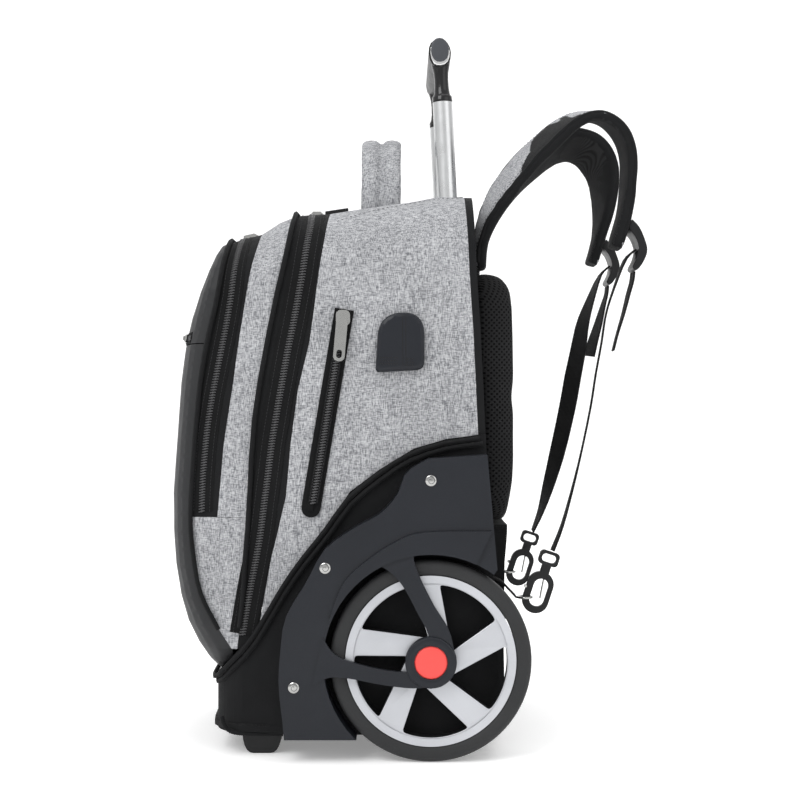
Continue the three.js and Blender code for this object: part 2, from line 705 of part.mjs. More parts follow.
function buildPiping() {
  const grow = PIPING_RADIUS + PIPING_SEAT;
  const main = seamRoute(edges.mainFront, grow, MAIN_PIPING_FOOT);
  addPiece('main_seam_piping', toGeometry(tubeAlong(main, PIPING_RADIUS, 5, 80)), 'black_cloth');
  const route = seamRoute(edges.frontFront, grow, heightAt(0.19));
  const front = tubeAlong(route, PIPING_RADIUS, 5, 80);
  addPiece('front_seam_piping', toGeometry(front), 'black_cloth');
}

// Fender outline: lengths ahead of the axle and above it as shares of the wheel radius.
const fenderTop = [
  { ahead: -0.555, up: 2.04 }, { ahead: 0.02, up: 2.0 }, { ahead: 0.24, up: 1.865 },
  { ahead: 0.33, up: 1.65 }, { ahead: 0.5, up: 1.46 }, { ahead: 0.77, up: 1.31 },
  { ahead: 1.05, up: 1.1 }, { ahead: 1.235, up: 0.77 }, { ahead: 1.43, up: 0.437 },
  { ahead: 1.483, up: 0.08 }, { ahead: 1.498, up: -0.23 }, { ahead: 1.46, up: -0.59 },
  { ahead: 1.445, up: -0.765 },
];
const FENDER_BACK_UP = 1.0;
const FENDER_BACK = 0.654;
const fenderX = (ahead) => WHEEL_X - ahead * WHEEL_RADIUS;
const fenderZ = (up) => WHEEL_RADIUS * (1 + up);
const ARCH_RADIUS = WHEEL_RADIUS + ARCH_CLEARANCE;

function fenderOutline(inset) {
  const rise = fenderTop.map((row) => [fenderX(row.ahead), fenderZ(row.up)]);
  const smooth = smoothPairs(rise.slice(1, -1), 26);
  const pairs = [rise[0], ...smooth, rise[rise.length - 1]];
  const low = rise[rise.length - 1][1];
  pairs.push([WHEEL_X, low], [WHEEL_X, WHEEL_RADIUS]);
  pairs.push([fenderX(-FENDER_BACK), fenderZ(FENDER_BACK_UP - 0.09)]);
  return inset > 0 ? insetPolygon(pairs, inset) : pairs;
}

// Moves each side of an outline inwards; the outline runs forwards along its top.
function insetPolygon(pairs, inset) {
  const count = pairs.length;
  return pairs.map(([x, z], i) => {
    const before = new THREE.Vector2(...pairs[(i + count - 1) % count]);
    const after = new THREE.Vector2(...pairs[(i + 1) % count]);
    const here = new THREE.Vector2(x, z);
    const a = here.clone().sub(before).normalize();
    const b = after.clone().sub(here).normalize();
    const normal = new THREE.Vector2(-(a.y + b.y), a.x + b.x).normalize();
    const stretch = inset / Math.max(normal.dot(new THREE.Vector2(-a.y, a.x)), 0.4);
    return [x + normal.x * stretch, z + normal.y * stretch];
  });
}

// Fork arms in front of the wheel: centre line ahead of and above the axle, and half width.
const upperArm = [
  { ahead: 0.37, up: 1.12, half: 25 }, { ahead: 0.29, up: 0.96, half: 13 },
  { ahead: 0.19, up: 0.79, half: 9 }, { ahead: 0.05, up: 0.52, half: 8.5 },
  { ahead: -0.08, up: 0.28, half: 10 },
  { ahead: -0.1, up: 0, half: 14 },
];
const lowerArm = [
  { ahead: 1.12, up: 0.0, half: 24 }, { ahead: 0.99, up: -0.03, half: 12 },
  { ahead: 0.8, up: -0.075, half: 7.8 },
  { ahead: 0.45, up: -0.15, half: 7 }, { ahead: 0.15, up: -0.17, half: 8 },
  { ahead: -0.05, up: -0.1, half: 12 },
];

function armOutline(rows) {
  const centre = rows.map((row) => new THREE.Vector2(fenderX(row.ahead), fenderZ(row.up)));
  const left = [];
  const right = [];
  centre.forEach((point, i) => {
    const before = centre[Math.max(i - 1, 0)];
    const after = centre[Math.min(i + 1, centre.length - 1)];
    const along = after.clone().sub(before).normalize();
    const half = rows[i].half;
    left.push([point.x - along.y * half, point.y + along.x * half]);
    right.push([point.x + along.y * half, point.y - along.x * half]);
  });
  return [...smoothPairs(left, 18), ...smoothPairs(right.reverse(), 18)];
}

// Raised flare over the wheel, between a crease and the arch.
const crease = [
  { ahead: -0.6, up: 1.29 }, { ahead: 0.07, up: 1.28 }, { ahead: 0.34, up: 1.19 },
  { ahead: 0.62, up: 1.01 }, { ahead: 0.86, up: 0.78 }, { ahead: 1.0, up: 0.42 },
];

const turnSteps = (radius) => THREE.MathUtils.clamp(4 * Math.round(radius / 6), 16, 56);

function discAt(radius, side, inner, outer) {
  const profile = [[0, 0], [radius, 0], [radius, outer - inner], [0, outer - inner]];
  const low = side.sign < 0 ? -outer : inner;
  return turned(profile.map(([r, y]) => [r, y + low]), WHEEL_X, WHEEL_RADIUS, turnSteps(radius));
}

function buildFender(side) {
  const inner = HALF_WIDTH + CLOTH + 2 * GAP;
  const plateInner = FENDER_FACE - FENDER_PLATE;
  const wheelWell = discAt(ARCH_RADIUS, side, inner - 5, FENDER_FACE + 10);
  const body = sideCover(fenderOutline(0), side, inner, FENDER_FACE);
  const cavity = sideCover(fenderOutline(FENDER_RIM), side, inner - 5, plateInner);
  const guard = discAt(ARCH_RADIUS + FENDER_RIM, side, inner, plateInner)
    .intersect(sideCover(fenderOutline(0.5), side, inner, FENDER_FACE));
  const ridge = smoothPairs(crease.map((row) => [fenderX(row.ahead), fenderZ(row.up)]), 20);
  const flareOutline = [...ridge, [WHEEL_X, WHEEL_RADIUS]];
  const flare = sideCover(flareOutline, side, FENDER_FACE - 1, FENDER_FACE + FLARE)
    .intersect(sideCover(fenderOutline(0.1), side, inner, FENDER_FACE + FLARE));
  let fender = body.subtract(cavity).add(guard).add(flare).subtract(wheelWell);
  const armFace = FENDER_FACE + 1;
  for (const rows of [upperArm, lowerArm]) {
    fender = fender.add(sideCover(armOutline(rows), side, plateInner, armFace));
  }
  fender = fender.add(discAt(HUB_RADIUS, side, plateInner, FENDER_FACE + FLARE));
  fender = fender.subtract(discAt(CAP_RADIUS + GAP, side, FENDER_FACE, FENDER_FACE + 10));
  for (const spot of rivetSpots) {
    const hole = rivetPin(spot, side, RIVET_RADIUS * 0.55 + GAP, FENDER_FACE - 10, FENDER_FACE + 1);
    fender = fender.subtract(hole);
  }
  addPiece(`fender_${side.name}`, toGeometry(fender), 'fender_plastic');
}

const rivetSpots = [
  { name: 'top', ahead: 0, up: 1.786 }, { name: 'middle', ahead: 1.041, up: 0.926 },
  { name: 'low', ahead: 1.35, up: -0.249 },
];

function rivetPin(spot, side, radius, inner, outer) {
  const low = side.sign < 0 ? -outer : inner;
  const profile = [[0, low], [radius, low], [radius, low + outer - inner], [0, low + outer - inner]];
  return turned(profile, fenderX(spot.ahead), fenderZ(spot.up), 12);
}

function buildRivets(side) {
  for (const spot of rivetSpots) {
    const head = rivetPin(spot, side, RIVET_RADIUS, FENDER_FACE + GAP, FENDER_FACE + 1.8);
    const pin = rivetPin(spot, side, RIVET_RADIUS * 0.55, FENDER_FACE - 8, FENDER_FACE + 1);
    addPiece(`rivet_${spot.name}_${side.name}`, toGeometry(head.add(pin)), 'nickel');
  }
}

const WHEEL_OUTER = FENDER_FACE - FENDER_PLATE - 1.5;
const WHEEL_INNER = WHEEL_OUTER - WHEEL_WIDTH;
const RIM_RADIUS = WHEEL_RADIUS - TYRE_DEPTH;

// Tyre section: depth below the tread and distance from the middle of its width, as shares.
const tyreSection = [
  { depth: 1, across: -0.42 }, { depth: 0.35, across: -0.5 }, { depth: 0.1, across: -0.38 },
  { depth: 0, across: -0.2 }, { depth: 0, across: 0.2 }, { depth: 0.1, across: 0.38 },
  { depth: 0.35, across: 0.5 }, { depth: 1, across: 0.42 },
];

function buildTyre(side) {
  const middle = side.sign * (WHEEL_OUTER + WHEEL_INNER) / 2;
  const profile = tyreSection.map((row) => [
    WHEEL_RADIUS - row.depth * TYRE_DEPTH, middle + row.across * WHEEL_WIDTH]);
  profile.push(profile[0]);
  addPiece(`tyre_${side.name}`, toGeometry(turned(profile, WHEEL_X, WHEEL_RADIUS, 48)), 'tyre_rubber');
}

// One side line of a spoke, about the wheel's centre.
function spokeLine(number, hand) {
  const angle = THREE.MathUtils.degToRad(SPOKE_ANGLE + (360 / SPOKES) * number);
  const along = new THREE.Vector2(Math.cos(angle), Math.sin(angle));
  const left = new THREE.Vector2(-along.y, along.x);
  const foot = left.clone().multiplyScalar(-SPOKE_SWEEP + hand * SPOKE_HUB_HALF);
  const spread = (SPOKE_RIM_HALF - SPOKE_HUB_HALF) / RIM_RADIUS;
  return { foot, along: along.addScaledVector(left, hand * spread) };
}

function linesMeet(a, b) {
  const gap = b.foot.clone().sub(a.foot);
  const share = gap.cross(b.along) / a.along.cross(b.along);
  return a.foot.clone().addScaledVector(a.along, share);
}

function lineReach(line, radius) {
  const square = line.along.lengthSq();
  const half = line.foot.dot(line.along) / square;
  const rest = (line.foot.lengthSq() - radius * radius) / square;
  return line.foot.clone().addScaledVector(line.along, -half + Math.sqrt(half * half - rest));
}

// Window between two spokes, with rounded corners.
function rimWindow(number) {
  const before = spokeLine(number, 1);
  const after = spokeLine(number + 1, -1);
  const radius = RIM_RADIUS - RIM_LIP;
  const start = lineReach(before, radius);
  const end = lineReach(after, radius);
  const apex = linesMeet(before, after);
  const from = start.angle();
  let sweep = end.angle() - from;
  sweep += sweep < 0 ? 2 * Math.PI : 0;
  const round = 0.07;
  const onArc = (share) => new THREE.Vector2(
    radius * Math.cos(from + sweep * share), radius * Math.sin(from + sweep * share));
  const path = new THREE.Path();
  const toward = (a, b, share) => a.clone().lerp(b, share);
  const begin = toward(apex, start, round * 2);
  path.moveTo(begin.x, begin.y);
  const beforeStart = toward(start, apex, round * 1.4);
  path.lineTo(beforeStart.x, beforeStart.y);
  path.quadraticCurveTo(start.x, start.y, onArc(round).x, onArc(round).y);
  for (let i = 1; i <= 6; i += 1) {
    const point = onArc(round + (1 - 2 * round) * (i / 6));
    path.lineTo(point.x, point.y);
  }
  const afterEnd = toward(end, apex, round * 1.4);
  path.quadraticCurveTo(end.x, end.y, afterEnd.x, afterEnd.y);
  const finishPoint = toward(apex, end, round * 2);
  path.lineTo(finishPoint.x, finishPoint.y);
  path.quadraticCurveTo(apex.x, apex.y, begin.x, begin.y);
  return path;
}

function buildRim(side) {
  const shape = new THREE.Shape(circlePath(RIM_RADIUS - GAP).getPoints(30));
  for (let i = 0; i < SPOKES; i += 1) {
    shape.holes.push(rimWindow(i));
  }
  shape.holes.push(new THREE.Path(circlePath(AXLE_RADIUS + GAP).getPoints(10)));
  const depth = WHEEL_WIDTH - 5;
  const geometry = new THREE.ExtrudeGeometry(shape, { depth, bevelEnabled: false, curveSegments: 3 });
  geometry.rotateX(Math.PI / 2);
  if (side.sign > 0) {
    geometry.rotateZ(Math.PI);
  }
  const outer = WHEEL_OUTER - 1;
  geometry.translate(WHEEL_X, side.sign < 0 ? -outer + depth : outer - depth, WHEEL_RADIUS);
  const recess = discAt(RIM_RADIUS - 3, side, outer - 2, outer + 5)
    .subtract(discAt(HUB_RADIUS, side, outer - 3, outer + 6));
  addPiece(`rim_${side.name}`, toGeometry(toSolid(geometry).subtract(recess)), 'rim_silver');
}

function buildAxle(side) {
  const inner = HALF_WIDTH + CLOTH + 2 * GAP;
  const pin = discAt(AXLE_RADIUS, side, inner, FENDER_FACE - FENDER_PLATE - GAP);
  const flange = discAt(AXLE_RADIUS * 2, side, inner, WHEEL_INNER + 1);
  addPiece(`axle_${side.name}`, toGeometry(pin.add(flange)), 'nickel');
  addPiece(`hub_cap_${side.name}`,
    toGeometry(discAt(CAP_RADIUS, side, FENDER_FACE + GAP, FENDER_FACE + FLARE + 0.5)), 'cap_red');
}

function buildFoot(side) {
  const shape = new THREE.Shape();
  const middle = depthAt(FOOT_AHEAD);
  const half = FOOT_LENGTH / 2;
  const flat = FOOT_LENGTH * 0.21;
  shape.moveTo(middle - half, BASE_HEIGHT - GAP);
  shape.quadraticCurveTo(middle - half + 1, 0, middle - flat, 0);
  shape.lineTo(middle + flat, 0);
  shape.quadraticCurveTo(middle + half - 1, 0, middle + half, BASE_HEIGHT - GAP);
  const y = FOOT_OUT * HALF_WIDTH * side.sign;
  const foot = sidePlate(shape, y - FOOT_WIDTH / 2, y + FOOT_WIDTH / 2);
  addPiece(`foot_${side.name}`, toGeometry(foot), 'black_plastic');
}

function buildBackPad() {
  const low = heightAt(0.381);
  const high = heightAt(0.858);
  const surface = (z) => backX(z) + BACK_PANEL + GAP;
  const face = backX((low + high) / 2) + BACK_PANEL + BACK_PAD_DEPTH;
  const outline = [
    [surface(low), low], [face - 7, low], [face - 1.5, low + 38], [face, low + 66],
    [face, high - 68], [face - 2, high - 18], [face - 10, high - 5], [face - 22, high],
    [surface(high), high],
  ];
  const half = BACK_PAD_WIDTH / 2;
  const frame = frontPlate(roundedRectangle(-half, half, low - 1, high + 1, 42), 0, BAG_DEPTH);
  const pad = sidePlate(outline, -half, half).intersect(frame);
  addPiece('back_pad', toGeometry(pad), 'mesh_pad');

  const coverLow = BASE_HEIGHT + 12;
  const coverHigh = low - 3;
  const cover = [
    [backX(coverLow) + BACK_PANEL + GAP, coverLow], [backX(coverLow) + BACK_PANEL + 8, coverLow],
    [backX(coverHigh) + BACK_PANEL + 16, coverLow + 70], [face - 9, coverHigh - 36],
    [face - 6, coverHigh], [surface(coverHigh), coverHigh],
  ];
  const coverHalf = REAR_COVER_WIDTH / 2;
  const coverFrame = frontPlate(
    roundedRectangle(-coverHalf, coverHalf, coverLow - 1, coverHigh + 1, 16), 0, BAG_DEPTH);
  addPiece('lower_back_cover',
    toGeometry(sidePlate(cover, -coverHalf, coverHalf).intersect(coverFrame)), 'black_cloth');
}

// A band of cloth or webbing swept through table rows, its width along Y turned by a few degrees.
function ribbon(rows, side, steps, roundness) {
  const curve = new THREE.CatmullRomCurve3(rows.map((row) => new THREE.Vector3(row.x, row.y, row.z)));
  const sections = [];
  for (let i = 0; i <= steps; i += 1) {
    const share = i / steps;
    const spot = share * (rows.length - 1);
    const from = rows[Math.floor(spot)];
    const to = rows[Math.min(Math.floor(spot) + 1, rows.length - 1)];
    const blend = spot - Math.floor(spot);
    const mix = (key) => THREE.MathUtils.lerp(from[key], to[key], blend);
    const centre = curve.getPoint(share);
    const along = curve.getTangent(share);
    const turn = THREE.MathUtils.degToRad(mix('turn'));
    const across = new THREE.Vector3(0, 1, 0).applyAxisAngle(along, turn);
    across.addScaledVector(along, -across.dot(along)).normalize();
    const normal = along.clone().cross(across);
    sections.push(ribbonSection(mix('width') / 2, mix('thick') / 2, roundness).map(([u, v]) => {
      const point = centre.clone().addScaledVector(across, u).addScaledVector(normal, v);
      return new THREE.Vector3(point.x, side.sign < 0 ? point.y : -point.y, point.z);
    }));
  }
  return toSolid(loftSolid(sections));
}

function ribbonSection(half, thick, roundness) {
  if (roundness === 0) {
    return [[-half, -thick], [half, -thick], [half, thick], [-half, thick]];
  }
  const points = [];
  const count = 12;
  for (let i = 0; i < count; i += 1) {
    const angle = (2 * Math.PI * (i + 0.5)) / count;
    const cos = Math.cos(angle);
    const sin = Math.sin(angle);
    points.push([
      half * Math.sign(cos) * Math.abs(cos) ** (2 / roundness),
      thick * Math.sign(sin) * Math.abs(sin) ** (2 / roundness),
    ]);
  }
  return points;
}

// Routes of the straps: distance behind the back, share of the half width and share of the height.
const behindX = (behind, z) => backX(z) + behind;

function routeRows(route, side, section) {
  return route.map((row) => {
    const z = heightAt(row.up);
    const centre = { x: behindX(row.behind, z), y: -row.out * HALF_WIDTH, z };
    return { ...centre, turn: row[side.name], ...section(row) };
  });
}

// Chosen route of a shoulder strap, from its lower seam on the back up over the shoulder and down.
// The last two columns turn its width, in degrees, on the near and far side.
const strapRoute = [
  { behind: 13.8, out: 0.400, up: 0.8673, share: 0.8, near: 0, far: 0 },
  { behind: 16.5, out: 0.400, up: 0.9212, share: 1, near: 4, far: 0 },
  { behind: 25.8, out: 0.413, up: 0.9712, share: 1, near: 12, far: 4 },
  { behind: 40.0, out: 0.439, up: 1.0154, share: 1, near: 19, far: 8 },
  { behind: 60.2, out: 0.471, up: 1.0635, share: 1, near: 22, far: 12 },
  { behind: 85.5, out: 0.503, up: 1.1096, share: 1, near: 21, far: 16 },
  { behind: 112.5, out: 0.529, up: 1.1500, share: 1, near: 16, far: 20 },
  { behind: 132.8, out: 0.542, up: 1.1596, share: 1, near: 10, far: 24 },
  { behind: 149.4, out: 0.555, up: 1.1481, share: 1, near: 5, far: 28 },
  { behind: 161.7, out: 0.568, up: 1.1173, share: 1, near: 2, far: 28 },
  { behind: 166.1, out: 0.581, up: 1.0750, share: 0.95, near: 0, far: 20 },
  { behind: 163.6, out: 0.587, up: 1.0173, share: 0.9, near: 0, far: 10 },
  { behind: 157.7, out: 0.594, up: 0.9635, share: 0.8, near: 0, far: 0 },
  { behind: 147.6, out: 0.594, up: 0.9038, share: 0.65, near: 0, far: 0 },
];

// Chosen route of the lower webbing, from the buckle down to the snap hook.
const webbingRoute = [
  { behind: 167.6, out: 0.6000, up: 0.90000, near: 0, far: 0 },
  { behind: 158.6, out: 0.6000, up: 0.88462, near: 0, far: 0 },
  { behind: 146.2, out: 0.6065, up: 0.83269, near: 4, far: 12 },
  { behind: 135.8, out: 0.6129, up: 0.77885, near: 6, far: 26 },
  { behind: 129.3, out: 0.6258, up: 0.72115, near: 6, far: 36 },
  { behind: 121.8, out: 0.6387, up: 0.66154, near: 6, far: 40 },
  { behind: 115.3, out: 0.6581, up: 0.60385, near: 6, far: 40 },
  { behind: 101.8, out: 0.6774, up: 0.50577, near: 6, far: 36 },
  { behind: 89.8, out: 0.6968, up: 0.43077, near: 4, far: 24 },
  { behind: 79.2, out: 0.7032, up: 0.37115, near: 2, far: 8 },
  { behind: 69.1, out: 0.7097, up: 0.32808, near: 0, far: 0 },
];

const tailRoute = [
  { behind: 164.7, out: 0.6000, up: 0.85808, near: 0, far: 0 },
  { behind: 163.5, out: 0.6000, up: 0.84231, near: 0, far: 0 },
  { behind: 159.3, out: 0.6000, up: 0.81731, near: 0, far: 4 },
  { behind: 152.8, out: 0.6065, up: 0.77692, near: 2, far: 12 },
  { behind: 145.8, out: 0.6065, up: 0.73846, near: 4, far: 18 },
  { behind: 141.0, out: 0.6065, up: 0.70769, near: 4, far: 20 },
];

const tabRoute = [
  { behind: 8.4, out: 0.7226, up: 0.27885, near: 0, far: 0 },
  { behind: 15.7, out: 0.7226, up: 0.27308, near: 0, far: 0 },
  { behind: 23.3, out: 0.7161, up: 0.25769, near: 0, far: 0 },
  { behind: 30.7, out: 0.7097, up: 0.24192, near: 0, far: 0 },
];

const buckleOutline = [
  { behind: 164.2, up: 0.95577 },
  { behind: 171.1, up: 0.94038 },
  { behind: 176.3, up: 0.91346 },
  { behind: 177.3, up: 0.89423 },
  { behind: 172.3, up: 0.87308 },
  { behind: 165.9, up: 0.85962 },
  { behind: 162.1, up: 0.86538 },
  { behind: 166.6, up: 0.88269 },
  { behind: 169.1, up: 0.90192 },
  { behind: 166.6, up: 0.92115 },
  { behind: 161.4, up: 0.93846 },
];

function addWebbing(name, route, side, width, steps) {
  const rows = routeRows(route, side, () => ({ width, thick: WEBBING_THICKNESS }));
  addPiece(`${name}_${side.name}`, toGeometry(ribbon(rows, side, steps, 0)), 'black_cloth');
}

function buildStrap(side) {
  const rows = routeRows(strapRoute, side, (row) => ({
    width: STRAP_WIDTH * row.share, thick: STRAP_THICKNESS }));
  addPiece(`shoulder_strap_${side.name}`, toGeometry(ribbon(rows, side, 26, 3.6)), 'heather');
  const middle = strapRoute[strapRoute.length - 1].out * HALF_WIDTH + 1;
  const corners = buckleOutline.map((row) => {
    const z = heightAt(row.up);
    return [behindX(row.behind, z), z];
  });
  const outline = smoothPairs([...corners, corners[0]], 36).slice(0, -1);
  const buckle = sideCover(outline, side, middle - BUCKLE_WIDTH / 2, middle + BUCKLE_WIDTH / 2);
  addPiece(`strap_buckle_${side.name}`, toGeometry(buckle), 'black_plastic');
  addWebbing('strap_webbing', webbingRoute, side, WEBBING_WIDTH, 28);
  addWebbing('strap_tail', tailRoute, side, WEBBING_WIDTH, 12);
  addWebbing('anchor_tab', tabRoute, side, WEBBING_WIDTH * 0.72, 8);
}

// Snap hook lying in a side plane: sizes along and across its own length.
const HOOK_TILT = 0.32;
const HOOK_FOOT_Z = heightAt(0.21154);
const HOOK_FOOT_X = behindX(45.1, HOOK_FOOT_Z);
const HOOK_Y = HALF_WIDTH * 0.7097;

function buildHook(side) {
  const loop = roundedRectangle(-13, 13, 0, 42, 12.9);
  loop.holes.push(roundedPath(-6.4, 8.4, 7, 35));
  const eye = roundedRectangle(-10, 10, 49, 63, 4);
  eye.holes.push(roundedPath(-7.2, 7.2, 52, 60));
  const half = HOOK_THICKNESS / 2;
  const neckPiece = roundedRectangle(-4.5, 4.5, 38, 52, 1);
  let hook = sidePlate(loop, -half, half).add(sidePlate(neckPiece, -half, half));
  hook = hook.add(sidePlate(eye, -half, half));
  const placed = hook.rotate([0, THREE.MathUtils.radToDeg(HOOK_TILT), 0])
    .translate([HOOK_FOOT_X, side.sign * HOOK_Y, HOOK_FOOT_Z]);
  addPiece(`snap_hook_${side.name}`, toGeometry(placed), 'black_plastic');
  const ring = new THREE.TorusGeometry(RING_RADIUS, RING_WIRE, 6, 20);
  ring.translate(HOOK_FOOT_X - 6.2, side.sign * HOOK_Y, HOOK_FOOT_Z + 15);
  addPiece(`anchor_ring_${side.name}`, toGeometry(toSolid(outward(mergeVertices(stripped(ring), 1e-4)))),
    'nickel');
}

function roundedPath(left, right, low, high) {
  const radius = Math.min(right - left, high - low) / 2 - 0.1;
  const outline = roundedRectangle(left, right, low, high, radius);
  return new THREE.Path(outline.getPoints(4).reverse());
}

function buildCarryHandle() {
  const half = HANDLE_SPAN / 2;
  const middleX = depthAt(0.32039);
  const top = topAt(middleX) + HANDLE_RISE;
  const route = [
    [-half, topAt(middleX) - 8], [-half + 1, topAt(middleX) + 14], [-half + 12, top - 26],
    [-half + 36, top - 9], [0, top - HANDLE_THICKNESS / 2],
  ];
  const points = [...route, ...route.slice(0, -1).reverse().map(([y, z]) => [-y, z])]
    .map(([y, z]) => new THREE.Vector3(middleX, y, z));
  const curve = new THREE.CatmullRomCurve3(points);
  const across = new THREE.Vector3(1, 0, 0);
  const steps = 16;
  const sections = [];
  for (let i = 0; i <= steps; i += 1) {
    const centre = curve.getPoint(i / steps);
    const normal = curve.getTangent(i / steps).cross(across).normalize();
    sections.push(channelSection(HANDLE_WIDTH / 2, HANDLE_THICKNESS / 2).map(([u, v]) =>
      centre.clone().addScaledVector(across, u).addScaledVector(normal, v)));
  }
  const solid = toSolid(loftSolid(sections)).subtract(bagBlock(GAP, BASE_HEIGHT));
  addPiece('carry_handle', toGeometry(solid), 'heather');
}

// Two padded channels side by side with a groove between them.
function channelSection(half, thick) {
  const steps = 4;
  const groove = 0.12;
  const arc = (centre, from) => Array.from({ length: steps + 1 }, (_, i) => {
    const angle = Math.PI * (from + 0.8 * (i / steps));
    return [centre + (half / 2) * Math.cos(angle), thick * Math.sin(angle)];
  });
  const low = [...arc(-half / 2, -0.9), [0, -thick * groove], ...arc(half / 2, -0.9)];
  const high = low.map(([u, v]) => [-u, -v]);
  return [...low, ...high.slice(0, steps + 1), [0, thick * groove], ...high.slice(steps + 2)];
}

function buildSidePocket() {
  const face = HALF_WIDTH + GAP;
  const top = { x: depthAt(0.43042), z: heightAt(0.78) };
  const foot = { x: depthAt(0.53883), z: heightAt(0.398) };
  const half = TAPE_WIDTH / 2;
  const along = new THREE.Vector2(foot.x - top.x, foot.z - top.z).normalize();
  const side = new THREE.Vector2(-along.y, along.x).multiplyScalar(half);
  const near = SIDES[0];
  const arc = Array.from({ length: 9 }, (_, i) => {
    const angle = Math.PI * (i / 8);
    const out = along.clone().multiplyScalar(half * Math.sin(angle));
    return [foot.x - along.x * half + side.x * Math.cos(angle) + out.x,
      foot.z - along.y * half + side.y * Math.cos(angle) + out.y];
  });
  const tape = [[top.x + side.x, top.z + side.y], ...arc, [top.x - side.x, top.z - side.y]];
  const coilHalf = side.clone().multiplyScalar(0.26);
  const coil = [[top.x + coilHalf.x, top.z + coilHalf.y],
    [foot.x - along.x * 6 + coilHalf.x, foot.z - along.y * 6 + coilHalf.y],
    [foot.x - along.x * 6 - coilHalf.x, foot.z - along.y * 6 - coilHalf.y],
    [top.x - coilHalf.x, top.z - coilHalf.y]];
  const strip = sideCover(tape, near, face, face + 1.2).add(sideCover(coil, near, face, face + 2.4));
  addPiece('pocket_zip_tape', toGeometry(strip), 'black_cloth');

  const slider = roundedRectangle(top.x - 8, top.x + 5.5, top.z - 16, top.z - 1, 5);
  addPiece('pocket_zip_slider',
    toGeometry(sideCover(slider, near, face + 2.7, face + 6.5)), 'nickel');
  const pull = roundedRectangle(-5.5, 5.5, -44, 0, 5);
  pull.holes.push(roundedPath(-2.6, 2.6, -41, -33));
  const tag = sidePlate(pull, -1, 1).rotate([0, 5, 0])
    .translate([top.x - 1.6, -(face + 8), top.z - 6]);
  addPiece('pocket_zip_pull', toGeometry(tag), 'nickel');
}

// Hood: its outline shrinks as it rises from the side panel.
const usbLayers = [
  { size: 1, rise: 0 }, { size: 1, rise: 0.55 }, { size: 0.95, rise: 0.85 }, { size: 0.86, rise: 1 },
];

function buildUsbCover() {
  const half = USB_WIDTH / 2;
  const rise = USB_HEIGHT / 2;
  const shape = new THREE.Shape();
  shape.moveTo(-half + 4, -rise);
  shape.lineTo(half - 9, -rise + 2);
  shape.quadraticCurveTo(half, -rise + 2, half, -rise + 11);
  shape.lineTo(half, rise * 0.35);
  shape.quadraticCurveTo(half - 2, rise, 4, rise);
  shape.quadraticCurveTo(-half + 5, rise, -half + 2, rise * 0.3);
  shape.lineTo(-half, -rise + 4);
  shape.quadraticCurveTo(-half, -rise, -half + 4, -rise);
  const outline = shape.getPoints(8).slice(0, -1);
  const middle = { x: depthAt(0.25890), z: heightAt(0.719) };
  const sections = usbLayers.map((layer) => outline.map((point) => new THREE.Vector3(
    middle.x + point.x * layer.size,
    -HALF_WIDTH - GAP - layer.rise * USB_DEPTH,
    middle.z + point.y * layer.size)));
  addPiece('usb_cover', toGeometry(toSolid(loftSolid(sections))), 'fender_plastic');
}

// Zip sliders that lie on the bag's top.
function buildTopSliders() {
  const mainX = edgeX(edges.mainBack, TOP_Z) - 16;
  const mainZ = topAt(mainX) + 0.6;
  const y = -60;
  const body = sidePlate([[mainX - 7, mainZ], [mainX + 8, mainZ], [mainX + 8, mainZ + 4],
    [mainX + 4, mainZ + 8], [mainX - 4, mainZ + 8], [mainX - 7, mainZ + 4]], y - 5, y + 5);
  addPiece('main_zip_slider', toGeometry(body), 'nickel');
  const tab = sidePlate([[mainX + 8.6, mainZ + 4], [mainX + 32, mainZ + 7.5],
    [mainX + 32, mainZ + 11.5], [mainX + 8.6, mainZ + 8]], y - 5, y + 5);
  addPiece('main_zip_tab', toGeometry(tab), 'black_plastic');
  const frontX = edgeX(edges.frontBack, TOP_Z) - 14;
  const frontZ = topAt(frontX + 8) + 0.8;
  const small = sidePlate([[frontX - 8, frontZ], [frontX + 8, frontZ], [frontX + 8, frontZ + 3],
    [frontX + 3, frontZ + 5.5], [frontX - 8, frontZ + 3]], y - 4.5, y + 4.5);
  addPiece('front_zip_slider', toGeometry(small), 'nickel');
}

buildBag();
buildBackPanel();
buildFrontPanel();
buildBoot();
buildPiping();
buildTopSliders();
buildSidePocket();
buildUsbCover();
buildCarryHandle();
buildTrolley();
buildBackPad();
for (const side of SIDES) {
  buildFender(side);
  buildRivets(side);
  buildTyre(side);
  buildRim(side);
  buildAxle(side);
  buildFoot(side);
  buildStrap(side);
  buildHook(side);
}

// The finished part's origin is the centre of its bounding box at floor height.
const bounds = new THREE.Box3().setFromObject(group);
const centre = bounds.getCenter(new THREE.Vector3());
group.position.set(-centre.x, -centre.y, -bounds.min.z);

export default group;
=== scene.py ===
import json
import math

import bmesh
import bpy
from mathutils import Matrix, Vector, noise
from mathutils.bvhtree import BVHTree


